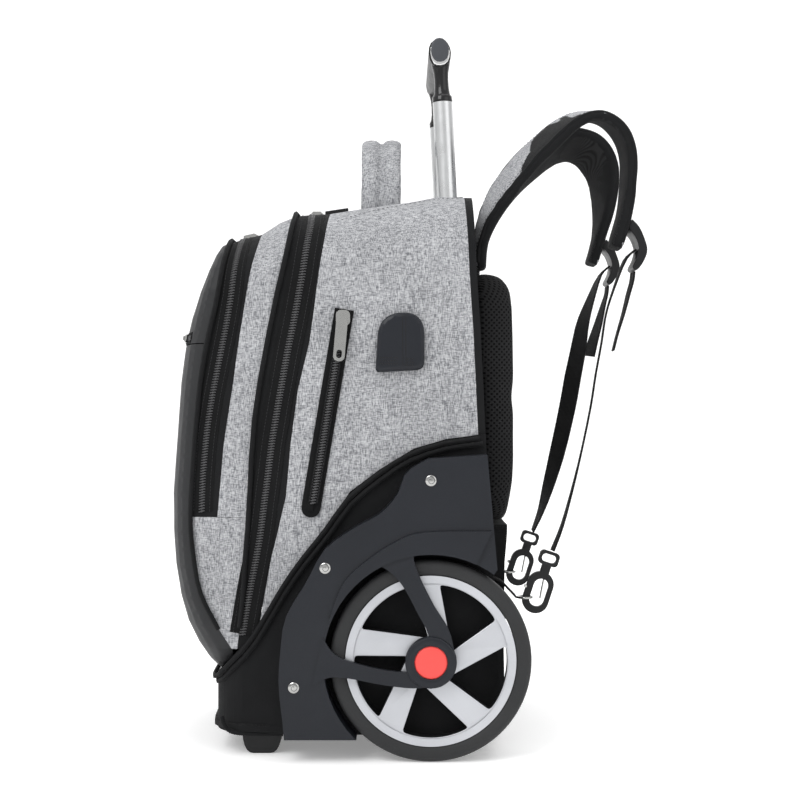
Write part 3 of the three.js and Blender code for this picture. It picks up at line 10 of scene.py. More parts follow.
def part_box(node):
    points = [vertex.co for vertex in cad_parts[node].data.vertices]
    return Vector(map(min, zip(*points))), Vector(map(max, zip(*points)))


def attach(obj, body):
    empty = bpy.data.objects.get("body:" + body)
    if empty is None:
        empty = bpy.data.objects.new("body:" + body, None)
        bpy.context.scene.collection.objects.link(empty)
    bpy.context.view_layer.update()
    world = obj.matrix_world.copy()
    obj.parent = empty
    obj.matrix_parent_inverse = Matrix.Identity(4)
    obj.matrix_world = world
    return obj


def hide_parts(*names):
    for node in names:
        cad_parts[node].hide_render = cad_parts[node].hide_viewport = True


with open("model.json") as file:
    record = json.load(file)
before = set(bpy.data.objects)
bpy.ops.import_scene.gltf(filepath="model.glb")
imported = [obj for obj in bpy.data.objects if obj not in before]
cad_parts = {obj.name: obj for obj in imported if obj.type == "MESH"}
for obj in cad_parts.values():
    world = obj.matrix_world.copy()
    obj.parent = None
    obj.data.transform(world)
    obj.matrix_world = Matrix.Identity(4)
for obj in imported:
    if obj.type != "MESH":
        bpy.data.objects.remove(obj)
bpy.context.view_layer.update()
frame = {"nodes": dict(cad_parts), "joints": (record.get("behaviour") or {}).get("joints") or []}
NODES = frame["nodes"]
SIDES = (("near", -1), ("far", 1))
MM = 0.001


def half_height(node):
    low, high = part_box(node)
    return (high.z - low.z) / 2


# Places and sizes read from the frame, in metres.
shell_low, shell_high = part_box("main_shell")
BAG_HALF = (shell_high.y - shell_low.y) / 2
BAG_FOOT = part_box("boot")[0].z
BAG_HEIGHT = shell_high.z - BAG_FOOT
WHEEL_RADIUS = half_height("tyre_near")
RIM_RADIUS = half_height("rim_near")
CAP_RADIUS = half_height("hub_cap_near")

# The photograph's camera, found from the wheel, the strap hooks and the far tyre's edge.
CAMERA_PLACE = Vector((-0.00744, -1.587, 0.340))
LENS = 67.5
SENSOR = 36.0
PICTURE = 800


def photo_point(px, py, y):
    """Place in the plane at depth y that shows at pixel (px, py) of the photograph."""
    reach = (y - CAMERA_PLACE.y) * SENSOR / LENS / PICTURE
    return Vector((CAMERA_PLACE.x + (px - PICTURE / 2) * reach, y,
                   CAMERA_PLACE.z - (py - PICTURE / 2) * reach))


def new_object(name, data):
    made = bpy.data.objects.new(name, data)
    bpy.context.scene.collection.objects.link(made)
    return made


def set_camera():
    data = bpy.data.cameras.new("camera")
    data.lens = LENS
    data.sensor_width = SENSOR
    camera = new_object("camera", data)
    camera.location = CAMERA_PLACE
    camera.rotation_euler = (math.pi / 2, 0, 0)
    data.clip_start = 0.05
    data.clip_end = 30
    bpy.context.scene.camera = camera


# Materials

def new_group(name, inputs, outputs):
    """Shader node group with named sockets: rows of (name, kind, value)."""
    tree = bpy.data.node_groups.new(name, "ShaderNodeTree")
    for title, kind, value in inputs:
        socket = tree.interface.new_socket(title, in_out="INPUT", socket_type=kind)
        socket.default_value = value
    for title, kind in outputs:
        tree.interface.new_socket(title, in_out="OUTPUT", socket_type=kind)
    return tree, tree.nodes.new("NodeGroupInput"), tree.nodes.new("NodeGroupOutput")


def add(tree, kind, **settings):
    node = tree.nodes.new(kind)
    for key, value in settings.items():
        setattr(node, key, value)
    return node


def link(tree, start, end):
    tree.links.new(start, end)


def feed(tree, value, socket):
    """Sets a socket to a plain value, or links it."""
    if isinstance(value, (int, float, tuple)):
        socket.default_value = value
    else:
        link(tree, value, socket)


def calc(tree, operation, first, second=None, clamp=False):
    node = add(tree, "ShaderNodeMath", operation=operation, use_clamp=clamp)
    feed(tree, first, node.inputs[0])
    if second is not None:
        feed(tree, second, node.inputs[1])
    return node.outputs[0]


def blend(tree, share, first, second):
    node = add(tree, "ShaderNodeMix", data_type="RGBA")
    for number, value in ((0, share), (6, first), (7, second)):
        feed(tree, value, node.inputs[number])
    return node.outputs[2]


def grain(tree, place, scale, detail=2.0, stretch=None):
    """Noise value at a scale per metre, drawn out along one axis if asked."""
    if stretch is not None:
        turn = add(tree, "ShaderNodeVectorMath", operation="MULTIPLY")
        link(tree, place, turn.inputs[0])
        turn.inputs[1].default_value = stretch
        place = turn.outputs[0]
    node = add(tree, "ShaderNodeTexNoise")
    link(tree, place, node.inputs["Vector"])
    node.inputs["Scale"].default_value = scale
    node.inputs["Detail"].default_value = detail
    return node.outputs["Fac"]


def remap(tree, value, low, high, to_low=0.0, to_high=1.0):
    node = add(tree, "ShaderNodeMapRange")
    link(tree, value, node.inputs["Value"])
    for name, number in (("From Min", low), ("From Max", high), ("To Min", to_low), ("To Max", to_high)):
        node.inputs[name].default_value = number
    return node.outputs["Result"]


def parts_of(tree, vector):
    """The three parts of a vector."""
    split = add(tree, "ShaderNodeSeparateXYZ")
    link(tree, vector, split.inputs[0])
    return tuple(split.outputs)


def weave_group():
    """Plain weave: raised threads both ways, chosen by the surface's own direction."""
    tree, given, made = new_group("plain_weave", [
        ("Vector", "NodeSocketVector", (0, 0, 0)), ("Thread", "NodeSocketFloat", 1.0)],
        [("Height", "NodeSocketFloat"), ("Thread Mask", "NodeSocketFloat")])
    scale = calc(tree, "DIVIDE", 2 * math.pi / MM, given.outputs["Thread"])
    waves = [calc(tree, "SINE", calc(tree, "MULTIPLY", part, scale))
             for part in parts_of(tree, given.outputs["Vector"])]
    height = calc(tree, "MULTIPLY", calc(tree, "ADD", waves[0], waves[1]), waves[2])
    soft = calc(tree, "MULTIPLY_ADD", height, 0.25)
    soft.node.inputs[2].default_value = 0.5
    link(tree, soft, made.inputs["Height"])
    link(tree, calc(tree, "GREATER_THAN", height, 0.0), made.inputs["Thread Mask"])
    return tree


def wear_group():
    """Slow brightness drift, fine dust and paler worn edges."""
    tree, given, made = new_group("wear_and_dust", [
        ("Vector", "NodeSocketVector", (0, 0, 0)), ("Color", "NodeSocketColor", (0.5, 0.5, 0.5, 1)),
        ("Edge Wear", "NodeSocketFloat", 0.2), ("Dust", "NodeSocketFloat", 0.1)],
        [("Color", "NodeSocketColor"), ("Roughness Shift", "NodeSocketFloat")])
    place = given.outputs["Vector"]
    drift = remap(tree, grain(tree, place, 14, 3), 0.3, 0.7, 0.92, 1.08)
    base = add(tree, "ShaderNodeVectorMath", operation="SCALE")
    link(tree, given.outputs["Color"], base.inputs[0])
    link(tree, drift, base.inputs["Scale"])
    shape = add(tree, "ShaderNodeNewGeometry")
    edge = remap(tree, shape.outputs["Pointiness"], 0.52, 0.6)
    edge = calc(tree, "MULTIPLY", calc(tree, "MULTIPLY", edge, given.outputs["Edge Wear"]),
                grain(tree, place, 320, 3), clamp=True)
    worn = blend(tree, edge, base.outputs[0], (0.75, 0.75, 0.74, 1))
    lying = remap(tree, parts_of(tree, shape.outputs["Normal"])[2], 0.5, 1.0)
    dust = calc(tree, "MULTIPLY", calc(tree, "MULTIPLY", lying, given.outputs["Dust"]),
                remap(tree, grain(tree, place, 900, 4), 0.5, 0.75), clamp=True)
    link(tree, blend(tree, dust, worn, (0.55, 0.54, 0.52, 1)), made.inputs["Color"])
    link(tree, calc(tree, "ADD", remap(tree, grain(tree, place, 60, 4), 0.3, 0.7, -0.05, 0.05),
                    calc(tree, "MULTIPLY", dust, 0.3)), made.inputs["Roughness Shift"])
    return tree


def heather_group():
    """Melange yarns: light and dark flecks drawn along warp and weft."""
    tree, given, made = new_group("heather_yarn", [
        ("Vector", "NodeSocketVector", (0, 0, 0)), ("Dark", "NodeSocketColor", (0.1, 0.1, 0.1, 1)),
        ("Light", "NodeSocketColor", (0.5, 0.5, 0.5, 1))],
        [("Color", "NodeSocketColor"), ("Height", "NodeSocketFloat")])
    place = given.outputs["Vector"]
    warp = grain(tree, place, 1350, 2, (1, 1, 0.16))
    weft = grain(tree, place, 1350, 2, (0.18, 0.18, 1.1))
    fleck = calc(tree, "ADD", calc(tree, "MULTIPLY", warp, 0.55), calc(tree, "MULTIPLY", weft, 0.45))
    share = remap(tree, fleck, 0.38, 0.62)
    slub = remap(tree, grain(tree, place, 160, 2, (1, 1, 0.25)), 0.35, 0.65, -0.05, 0.05)
    mixed = calc(tree, "ADD", share, slub, clamp=True)
    link(tree, blend(tree, mixed, given.outputs["Dark"], given.outputs["Light"]), made.inputs["Color"])
    link(tree, mixed, made.inputs["Height"])
    return tree


def mesh_group():
    """Open spacer mesh: rows of small offset holes."""
    tree, given, made = new_group("spacer_mesh", [
        ("Vector", "NodeSocketVector", (0, 0, 0)), ("Pitch", "NodeSocketFloat", 4.0)],
        [("Hole", "NodeSocketFloat"), ("Height", "NodeSocketFloat")])
    scale = calc(tree, "DIVIDE", 2 * math.pi / MM, given.outputs["Pitch"])
    x, y, z = parts_of(tree, given.outputs["Vector"])
    side = calc(tree, "ADD", x, y)
    first, second = [calc(tree, "SINE", calc(tree, "MULTIPLY", calc(tree, way, side, z), scale))
                     for way in ("ADD", "SUBTRACT")]
    net = calc(tree, "MULTIPLY", calc(tree, "ADD", first, second), 0.5)
    hole = remap(tree, net, 0.15, 0.55)
    link(tree, hole, made.inputs["Hole"])
    link(tree, calc(tree, "SUBTRACT", 1.0, hole), made.inputs["Height"])
    return tree


def strand_group():
    """Straight ribs of webbing and braid running across one direction."""
    tree, given, made = new_group("webbing_rib", [
        ("Vector", "NodeSocketVector", (0, 0, 0)), ("Pitch", "NodeSocketFloat", 1.6)],
        [("Height", "NodeSocketFloat")])
    scale = calc(tree, "DIVIDE", 2 * math.pi / MM, given.outputs["Pitch"])
    ribs, cross = [calc(tree, "SINE", calc(tree, "MULTIPLY", part, scale))
                   for part in parts_of(tree, given.outputs["Vector"])[1:]]
    soft = calc(tree, "MULTIPLY", calc(tree, "ADD", ribs, calc(tree, "MULTIPLY", cross, 0.6)), 0.3)
    link(tree, calc(tree, "ADD", soft, 0.5), made.inputs["Height"])
    return tree


GROUPS = {
    "weave": weave_group(), "wear": wear_group(), "heather": heather_group(),
    "mesh": mesh_group(), "strand": strand_group(),
}


CLOTH_SHINE = 0.1
PLASTIC_SHINE = 0.28


def start_material(name, roughness, metallic=0.0, coat=0.0, shine=CLOTH_SHINE):
    material = bpy.data.materials.new(name)
    material.use_nodes = True
    tree = material.node_tree
    shader = tree.nodes["Principled BSDF"]
    shader.inputs["Roughness"].default_value = roughness
    shader.inputs["Metallic"].default_value = metallic
    shader.inputs["Coat Weight"].default_value = coat
    shader.inputs["Specular IOR Level"].default_value = shine
    place = add(tree, "ShaderNodeTexCoord").outputs["Object"]
    return material, tree, shader, place


def use_group(tree, name, place, **values):
    node = add(tree, "ShaderNodeGroup", node_tree=GROUPS[name])
    link(tree, place, node.inputs["Vector"])
    for key, value in values.items():
        feed(tree, value, node.inputs[key.replace("_", " ")])
    return node


def finish_material(tree, shader, place, color, roughness, height, depth, edge=0.2, dust=0.08):
    """Joins colour, roughness drift and bump to the shader."""
    wear = use_group(tree, "wear", place, Color=color, Edge_Wear=edge, Dust=dust)
    link(tree, wear.outputs["Color"], shader.inputs["Base Color"])
    rough = calc(tree, "ADD", wear.outputs["Roughness Shift"], roughness, clamp=True)
    link(tree, rough, shader.inputs["Roughness"])
    bump = add(tree, "ShaderNodeBump")
    bump.inputs["Strength"].default_value = 1.0
    bump.inputs["Distance"].default_value = depth
    link(tree, height, bump.inputs["Height"])
    link(tree, bump.outputs["Normal"], shader.inputs["Normal"])


def shaded(color, gain, lift=0):
    """The colour made brighter or darker."""
    return tuple(min(1, c * gain + lift) for c in color[:3]) + (1,)


def heather_material(name, dark, light):
    material, tree, shader, place = start_material(name, 0.92)
    yarn = use_group(tree, "heather", place, Dark=dark, Light=light)
    weave = use_group(tree, "weave", place, Thread=1.1)
    height = calc(tree, "ADD", calc(tree, "MULTIPLY", weave.outputs["Height"], 0.6),
                  calc(tree, "MULTIPLY", yarn.outputs["Height"], 0.4))
    finish_material(tree, shader, place, yarn.outputs["Color"], 0.9, height, 0.25 * MM, 0, 0.05)
    shader.inputs["Sheen Weight"].default_value = 0.03
    return material


def cloth_material(name, color, thread, roughness=0.85, depth=0.2 * MM, sheen=0.03):
    material, tree, shader, place = start_material(name, roughness)
    weave = use_group(tree, "weave", place, Thread=thread)
    shade = blend(tree, weave.outputs["Height"], color, shaded(color, 1.7, 0.004))
    finish_material(tree, shader, place, shade, roughness, weave.outputs["Height"], depth, 0, 0.06)
    shader.inputs["Sheen Weight"].default_value = sheen
    return material


def mesh_material(name, color, pitch):
    material, tree, shader, place = start_material(name, 0.8)
    net = use_group(tree, "mesh", place, Pitch=pitch)
    # The holes keep the dark colour and the threads between them are made paler: painted shade in the holes.
    shade = blend(tree, net.outputs["Hole"], shaded(color, 3.2, 0.012), color)
    finish_material(tree, shader, place, shade, 0.8, net.outputs["Height"], 0.9 * MM, 0, 0.04)
    shader.inputs["Sheen Weight"].default_value = 0.02
    return material


def webbing_material(name, color, pitch):
    material, tree, shader, place = start_material(name, 0.75)
    rib = use_group(tree, "strand", place, Pitch=pitch)
    shade = blend(tree, rib.outputs["Height"], color, shaded(color, 2.0, 0.005))
    finish_material(tree, shader, place, shade, 0.72, rib.outputs["Height"], 0.35 * MM, 0, 0.05)
    shader.inputs["Sheen Weight"].default_value = 0.03
    return material


def moulded_material(name, color, roughness, grain_size, depth, metallic=0.0, coat=0.0, edge=0.0, dust=0.05,
                      shine=PLASTIC_SHINE):
    """Plastic, rubber, paint or metal with a fine surface grain."""
    material, tree, shader, place = start_material(name, roughness, metallic, coat, shine)
    fine = grain(tree, place, grain_size, 4)
    shade = blend(tree, remap(tree, fine, 0.3, 0.7), color, shaded(color, 1.12, 0.002))
    finish_material(tree, shader, place, shade, roughness, fine, depth, edge, dust)
    return material


def brushed_material(name, color, roughness, stretch):
    material, tree, shader, place = start_material(name, roughness, 1.0, 0.0, 0.5)
    lines = grain(tree, place, 700, 3, stretch)
    shade = blend(tree, remap(tree, lines, 0.3, 0.7), color, shaded(color, 0.86))
    finish_material(tree, shader, place, shade, roughness, lines, 0.03 * MM, 0, 0.02)
    return material


LOOKS = {
    "heather": heather_material("heather_cloth", (0.13, 0.134, 0.145, 1), (0.50, 0.505, 0.52, 1)),
    "black_cloth": cloth_material("black_cloth", (0.0065, 0.0067, 0.0072, 1), 0.9),
    "zip_tape": cloth_material("zip_tape", (0.0042, 0.0043, 0.0046, 1), 0.6),
    "smooth_panel": moulded_material("coated_panel", (0.021, 0.0215, 0.023, 1), 0.55, 2400, 0.05 * MM,
                                     shine=0.25),
    "mesh_pad": mesh_material("spacer_mesh", (0.003, 0.003, 0.0033, 1), 5.2),
    "strap_mesh": mesh_material("strap_mesh", (0.0035, 0.0035, 0.0038, 1), 2.1),
    "webbing": webbing_material("webbing", (0.0055, 0.0055, 0.0058, 1), 1.5),
    "fender_plastic": moulded_material("fender_plastic", (0.012, 0.0135, 0.0175, 1), 0.34, 1800, 0.02 * MM,
                                        shine=0.22),
    "black_plastic": moulded_material("black_plastic", (0.007, 0.0072, 0.008, 1), 0.38, 1500, 0.03 * MM),
    "shiny_plastic": moulded_material("shiny_black_plastic", (0.006, 0.006, 0.0065, 1), 0.18, 900, 0.01 * MM,
                                      coat=0.3),
    "grey_plastic": moulded_material("grey_plastic", (0.05, 0.053, 0.06, 1), 0.36, 900, 0.02 * MM),
    "tyre_rubber": moulded_material("tyre_rubber", (0.0215, 0.022, 0.023, 1), 0.62, 1300, 0.1 * MM, edge=0.04,
                                    dust=0.08),
    "rim_silver": moulded_material("silver_paint", (0.45, 0.46, 0.485, 1), 0.34, 3000, 0.01 * MM, 0.3, 0.2,
                                   dust=0.02),
    "cap_red": moulded_material("coral_red_plastic", (0.80, 0.075, 0.066, 1), 0.42, 1600, 0.02 * MM),
    "tube_metal": brushed_material("anodised_tube", (0.70, 0.71, 0.715, 1), 0.3, (1, 1, 0.02)),
    "nickel": moulded_material("nickel", (0.40, 0.40, 0.39, 1), 0.22, 1100, 0.004 * MM, 1.0, dust=0.0),
    "chrome": moulded_material("chrome_trim", (0.7, 0.7, 0.7, 1), 0.08, 500, 0.004 * MM, 1.0, dust=0.0),
    "zip_coil": moulded_material("zip_coil", (0.055, 0.055, 0.057, 1), 0.30, 1500, 0.01 * MM),
    "thread_grey": moulded_material("grey_thread", (0.15, 0.152, 0.16, 1), 0.8, 4000, 0.05 * MM,
                                    shine=CLOTH_SHINE),
    "thread_black": moulded_material("black_thread", (0.034, 0.034, 0.036, 1), 0.7, 4000, 0.05 * MM,
                                     shine=CLOTH_SHINE),
}


# Mesh helpers

def spaced(points, count):
    """The given number of places at even distances along a line of points."""
    lengths = [0.0]
    for before, after in zip(points, points[1:]):
        lengths.append(lengths[-1] + (after - before).length)
    made, k = [], 0
    for i in range(count):
        reach = lengths[-1] * i / (count - 1)
        while k + 2 < len(points) and lengths[k + 1] < reach:
            k += 1
        span = max(lengths[k + 1] - lengths[k], 1e-9)
        made.append(points[k].lerp(points[k + 1], min(max((reach - lengths[k]) / span, 0), 1)))
    return made


def run_length(points):
    return sum((b - a).length for a, b in zip(points, points[1:]))


def curved(points, count):
    """Even places along a smooth line through the given points."""
    dense, last = [], len(points) - 1
    for i in range(last):
        a, b = points[max(i - 1, 0)], points[i]
        c, d = points[i + 1], points[min(i + 2, last)]
        for k in range(12):
            t = k / 12
            dense.append(0.5 * (2 * b + (c - a) * t + (2 * a - 5 * b + 4 * c - d) * t ** 2
                                + (3 * b - a - 3 * c + d) * t ** 3))
    dense.append(points[last].copy())
    return spaced(dense, count)


def directions(path, ups=None):
    """Along, across and up at each place of a path."""
    rows, up = [], None
    for i in range(len(path)):
        along = (path[min(i + 1, len(path) - 1)] - path[max(i - 1, 0)]).normalized()
        if ups is not None:
            up = ups[i]
        elif up is None:
            up = along.orthogonal()
        up = (up - along * up.dot(along)).normalized()
        rows.append((along, along.cross(up), up))
    return rows


def join_rings(bm, rings):
    """Walls from each ring of corners to the next."""
    count = len(rings[0])
    for a, b in zip(rings, rings[1:]):
        for k in range(count):
            bm.faces.new((a[k], a[(k + 1) % count], b[(k + 1) % count], b[k]))


def sweep(bm, path, section, ups=None, sizes=None):
    """Closed body with one section carried along a path."""
    rings = []
    for i, (place, (_, across, up)) in enumerate(zip(path, directions(path, ups))):
        size = 1 if sizes is None else sizes[i]
        rings.append([bm.verts.new(place + across * (u * size) + up * (v * size)) for u, v in section])
    join_rings(bm, rings)
    bm.faces.new(rings[0][::-1])
    bm.faces.new(rings[-1])


def ring_section(radius, sides):
    return [(radius * math.cos(2 * math.pi * i / sides), radius * math.sin(2 * math.pi * i / sides))
            for i in range(sides)]


def flat_section(half, thick, power=4.0, count=16):
    """Flat section with rounded edges."""
    made = []
    for i in range(count):
        angle = 2 * math.pi * (i + 0.5) / count
        c, s = math.cos(angle), math.sin(angle)
        made.append((math.copysign(half * abs(c) ** (2 / power), c),
                     math.copysign(thick * abs(s) ** (2 / power), s)))
    return made


def turned(bm, profile, centre, axis=Vector((0, 1, 0)), segments=64):
    """Body of revolution; the profile's rows are (radius, distance along the axis)."""
    across = axis.orthogonal().normalized()
    up = axis.cross(across).normalized()
    rings = []
    for radius, along in profile:
        place = centre + axis * along
        if radius < 1e-7:
            rings.append([bm.verts.new(place)])
            continue
        rings.append([bm.verts.new(place + across * (radius * math.cos(2 * math.pi * i / segments))
                                   + up * (radius * math.sin(2 * math.pi * i / segments)))
                      for i in range(segments)])
    for a, b in zip(rings, rings[1:] if len(rings[0]) == 1 else rings[1:] + rings[:1]):
        for i in range(segments):
            j = (i + 1) % segments
            corners = [a[i % len(a)], a[j % len(a)], b[j % len(b)], b[i % len(b)]]
            corners = [c for n, c in enumerate(corners) if c not in corners[:n]]
            if len(corners) > 2:
                bm.faces.new(corners)


def make(name, bm, looks, body="root", replaces=(), angle=40, pick=None):
    """Shown piece from a mesh: smooth where its faces meet gently, sharp where they don't."""
    bmesh.ops.recalc_face_normals(bm, faces=bm.faces)
    for face in bm.faces:
        face.smooth = True
        face.material_index = pick(face) if pick else 0
    for edge in bm.edges:
        edge.smooth = len(edge.link_faces) == 2 and edge.calc_face_angle(0.0) < math.radians(angle)
    mesh = bpy.data.meshes.new(name)
    bm.to_mesh(mesh)
    bm.free()
    for look in looks if isinstance(looks, tuple) else (looks,):
        mesh.materials.append(LOOKS[look])
    made = new_object(name, mesh)
    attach(made, body)
    if replaces:
        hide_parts(*replaces)
    return made


def copy_of(*names):
    """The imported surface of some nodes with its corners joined."""
    bm = bmesh.new()
    for name in names:
        bm.from_mesh(NODES[name].data)
    bmesh.ops.remove_doubles(bm, verts=bm.verts, dist=0.002 * MM)
    return bm


def refine(bm, longest):
    for _ in range(8):
        wide = [edge for edge in bm.edges if edge.calc_length() > longest]
        if not wide:
            break
        bmesh.ops.subdivide_edges(bm, edges=wide, cuts=1)
        bmesh.ops.triangulate(bm, faces=[face for face in bm.faces if len(face.verts) > 3])


def rounded_edges(piece, width, segments=2):
    """Small round on the hard edges, with even shading on the flat faces."""
    weld = piece.modifiers.new("joined corners", "WELD")
    weld.merge_threshold = 0.002 * MM
    bevel = piece.modifiers.new("rounded edges", "BEVEL")
    bevel.width = width
    bevel.segments = segments
    bevel.limit_method = "ANGLE"
    bevel.angle_limit = math.radians(32)
    bevel.miter_outer = "MITER_ARC"
    normals = piece.modifiers.new("even shading", "WEIGHTED_NORMAL")
    normals.keep_sharp = True


def dress(node, look, width=0.5 * MM, segments=2):
    """A hard node shown as it was packed, with rounded edges and its finish."""
    piece = NODES[node]
    piece.data.materials.clear()
    piece.data.materials.append(LOOKS[look])
    for face in piece.data.polygons:
        face.use_smooth = True
    rounded_edges(piece, width, segments)


# Cloth easing: the same small lean of the cloth for every piece, so that seams stay together.

HARD_SPOTS = [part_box(name) for name in ("usb_cover", "pocket_zip_tape")]


def calm(place):
    """0 on hard trim, 1 well away from it."""
    share = 1.0
    for low, high in HARD_SPOTS:
        reach = max(low.x - place.x, place.x - high.x, low.z - place.z, place.z - high.z)
        if place.y < 0:
            share = min(share, min(max(reach / (25 * MM), 0), 1))
    return share


def ease(place, swell=1.0):
    """Where a place of the cloth lies once it is a little slack."""
    low = min(max((place.z - BAG_FOOT) / (0.5 * BAG_HEIGHT), 0.15), 1)
    slow = noise.noise_vector(place * 8.5)
    fine = noise.noise_vector(place * 33 + Vector((3, 5, 7)))
    shift = slow * (1.6 * MM) + fine * (0.45 * MM)
    return place + shift * (calm(place) * low * swell)


def soft_node(node, look, longest=10 * MM, swell=1.0, angle=50):
    """A cloth node: its packed walls, finely divided and eased."""
    bm = copy_of(node)
    refine(bm, longest)
    for corner in bm.verts:
        corner.co = ease(corner.co, swell)
    return make(node + "_cloth", bm, look, replaces=(node,), angle=angle)


BAG_NODES = ("main_shell", "main_zip_band", "middle_gusset", "front_zip_band", "lower_gusset_near",
             "lower_gusset_far", "front_panel_upper", "front_panel_lower", "boot")


def surface_of(*names):
    bm = copy_of(*names)
    tree = BVHTree.FromBMesh(bm)
    bm.free()
    return tree


BAG_SURFACE = surface_of(*BAG_NODES)
USB_SURFACE = surface_of("usb_cover")
POCKET_SURFACE = surface_of("pocket_zip_tape", "main_shell")


def seen(px, py, surface=BAG_SURFACE):
    """Place and outward direction of the surface shown at a pixel of the photograph."""
    aim = (photo_point(px, py, 0) - CAMERA_PLACE).normalized()
    place, normal, _, _ = surface.ray_cast(CAMERA_PLACE, aim)
    if place is None:
        place, normal = photo_point(px, py, -BAG_HALF), Vector((0, -1, 0))
    return place, normal if normal.dot(aim) < 0 else -normal


def dropped(place, direction, surface=BAG_SURFACE):
    """First place of the surface met from outside along a direction."""
    hit, normal, _, _ = surface.ray_cast(place, direction)
    if hit is None:
        return None
    return hit, normal if normal.dot(direction) < 0 else -normal


TOP_CORNER = 58 * MM


def mirrored(rows):
    """The same places and directions on the far side."""
    return [(Vector((p.x, -p.y, p.z)), Vector((n.x, -n.y, n.z))) for p, n in rows]


def x_at(places, level):
    """How far along the bag a rising line lies at a height."""
    for low, high in zip(places, places[1:]):
        if level < high.z:
            share = (level - low.z) / max(high.z - low.z, 1e-9)
            return low.x + (high.x - low.x) * max(share, 0)
    return places[-1].x


def over_bag(pixels):
    """A seam's line up the near side, over the top and down the far side, with its outward directions."""
    near = [seen(*pixel)[0] for pixel in pixels]
    near.sort(key=lambda place: place.z)
    near = curved(near, 60)
    rows = []
    for place in near:
        hit = dropped(Vector((place.x, -0.4, place.z)), Vector((0, 1, 0)))
        if hit:
            rows.append(hit)
    top_x, side = near[-1].x, abs(rows[-1][0].y)
    crown = dropped(Vector((top_x, 0, 1)), Vector((0, 0, -1)))[0].z
    rows = [row for row in rows if row[0].z < crown - TOP_CORNER]
    for i in range(13):
        turn = math.pi / 2 * i / 12
        level = crown - TOP_CORNER * (1 - math.sin(turn))
        pivot = Vector((x_at(near, level), -(side - TOP_CORNER), crown - TOP_CORNER))
        away = Vector((0, -math.cos(turn), math.sin(turn)))
        hit = dropped(pivot + away * 0.3, -away)
        if hit:
            rows.append(hit)
    rows.append(dropped(Vector((top_x, 0, 1)), Vector((0, 0, -1))))
    return rows + mirrored(rows[:-1])[::-1]


def even_rows(rows, pitch):
    """Places and outward directions at even steps along a line on the bag."""
    points = [place for place, _ in rows]
    count = max(int(run_length(points) / pitch), 2)
    places = spaced(points, count)
    made, k = [], 0
    for place in places:
        while k + 1 < len(points) and (points[k + 1] - place).length < (points[k] - place).length:
            k += 1
        made.append((place, rows[k][1]))
    smooth = []
    for i, (place, _) in enumerate(made):
        near = made[max(i - 4, 0):i + 5]
        smooth.append((place, sum((n for _, n in near), Vector()).normalized()))
    return smooth


def stitch_run(bm, rows, pitch=4.4 * MM, length=3.0 * MM, radius=0.36 * MM, eased=True):
    """Sewn stitches: short thread loops that dip into the cloth at both ends."""
    line = even_rows(rows, pitch)
    for (place, up), (ahead, _) in zip(line, line[1:]):
        start = ease(place) if eased else place
        end = ease(ahead) if eased else ahead
        along = (end - start).normalized() * length
        path = [start - up * radius, start + along * 0.5 + up * (radius * 1.2), start + along - up * radius]
        sweep(bm, path, ring_section(radius, 5), [up] * 3)


def zip_run(name, rows, tape_half, coil_half, pitch=2.6 * MM, eased=True):
    """Woven tape with two rows of coil teeth, and a line of stitches on each side."""
    line = even_rows(rows, 6 * MM)
    tape = bmesh.new()
    moved = [(ease(place) if eased else place) for place, _ in line]
    ups = [up for _, up in line]
    sweep(tape, [p + u * (0.35 * MM) for p, u in zip(moved, ups)],
          flat_section(tape_half, 0.5 * MM, 6, 12), ups)
    make(name + "_tape", tape, "zip_tape")
    teeth = bmesh.new()
    fine = even_rows([(p, u) for p, u in zip(moved, ups)], pitch)
    frames = directions([p for p, _ in fine], [u for _, u in fine])
    section = ring_section(0.75 * MM, 5)
    for i, ((place, up), (along, across, _)) in enumerate(zip(fine, frames)):
        lift = place + up * (1.1 * MM)
        for hand in (-1, 1):
            shift = along * (pitch * 0.25 * hand)
            path = [lift + shift + across * (coil_half * hand) - up * (0.5 * MM),
                    lift + shift + across * (coil_half * 0.55 * hand) + up * (0.35 * MM),
                    lift - shift - across * (coil_half * 0.12 * hand) + up * (0.1 * MM)]
            sweep(teeth, path, section, [along] * 3)
    make(name + "_coil", teeth, "zip_coil", angle=75)
    seams = bmesh.new()
    for hand in (-1, 1):
        beside = [(p + a[1] * (hand * tape_half * 0.72) + u * (0.9 * MM), u)
                  for (p, u), a in zip(zip(moved, ups), directions(moved, ups))]
        stitch_run(seams, beside, 3.2 * MM, 2.2 * MM, 0.28 * MM, False)
    make(name + "_stitches", seams, "thread_black")


# Bag body

SECOND_PIPING = Vector((3.2 * MM, 0, -4.8 * MM))
BASE_PIPING = ((222, 716), (223.5, 723), (228.5, 730), (238, 733), (262, 734), (283, 734))
BASE_PIPING_OUT = BAG_HALF - 3 * MM


def dress_base_piping():
    """Ribbed cord round the lower front corner of the boot."""
    bm = bmesh.new()
    for sign in (-1, 1):
        corners = [photo_point(px, py, -BASE_PIPING_OUT) for px, py in BASE_PIPING]
        path = curved([Vector((p.x, -sign * p.y, p.z)) for p in corners], 60)
        sizes = [1 if i % 2 else 0.8 for i in range(len(path))]
        sweep(bm, path, ring_section(2.3 * MM, 10), sizes=sizes)
    make("boot_base_cord", bm, "black_cloth", angle=80)


def dress_bag():
    for node in ("main_shell", "middle_gusset", "lower_gusset_near", "lower_gusset_far"):
        soft_node(node, "heather")
    for node in ("main_zip_band", "front_zip_band", "back_panel"):
        soft_node(node, "black_cloth")
    soft_node("boot", "black_cloth", swell=0.6)
    for node in ("front_panel_upper", "front_panel_lower"):
        soft_node(node, "smooth_panel", longest=6 * MM, swell=0.8, angle=75)
    soft_node("lower_back_cover", "black_cloth")
    for node in ("main_seam_piping", "front_seam_piping", "boot_piping"):
        round_cord(node)
    round_cord("boot_piping", shift=SECOND_PIPING, name="boot_second_cord")
    dress_base_piping()


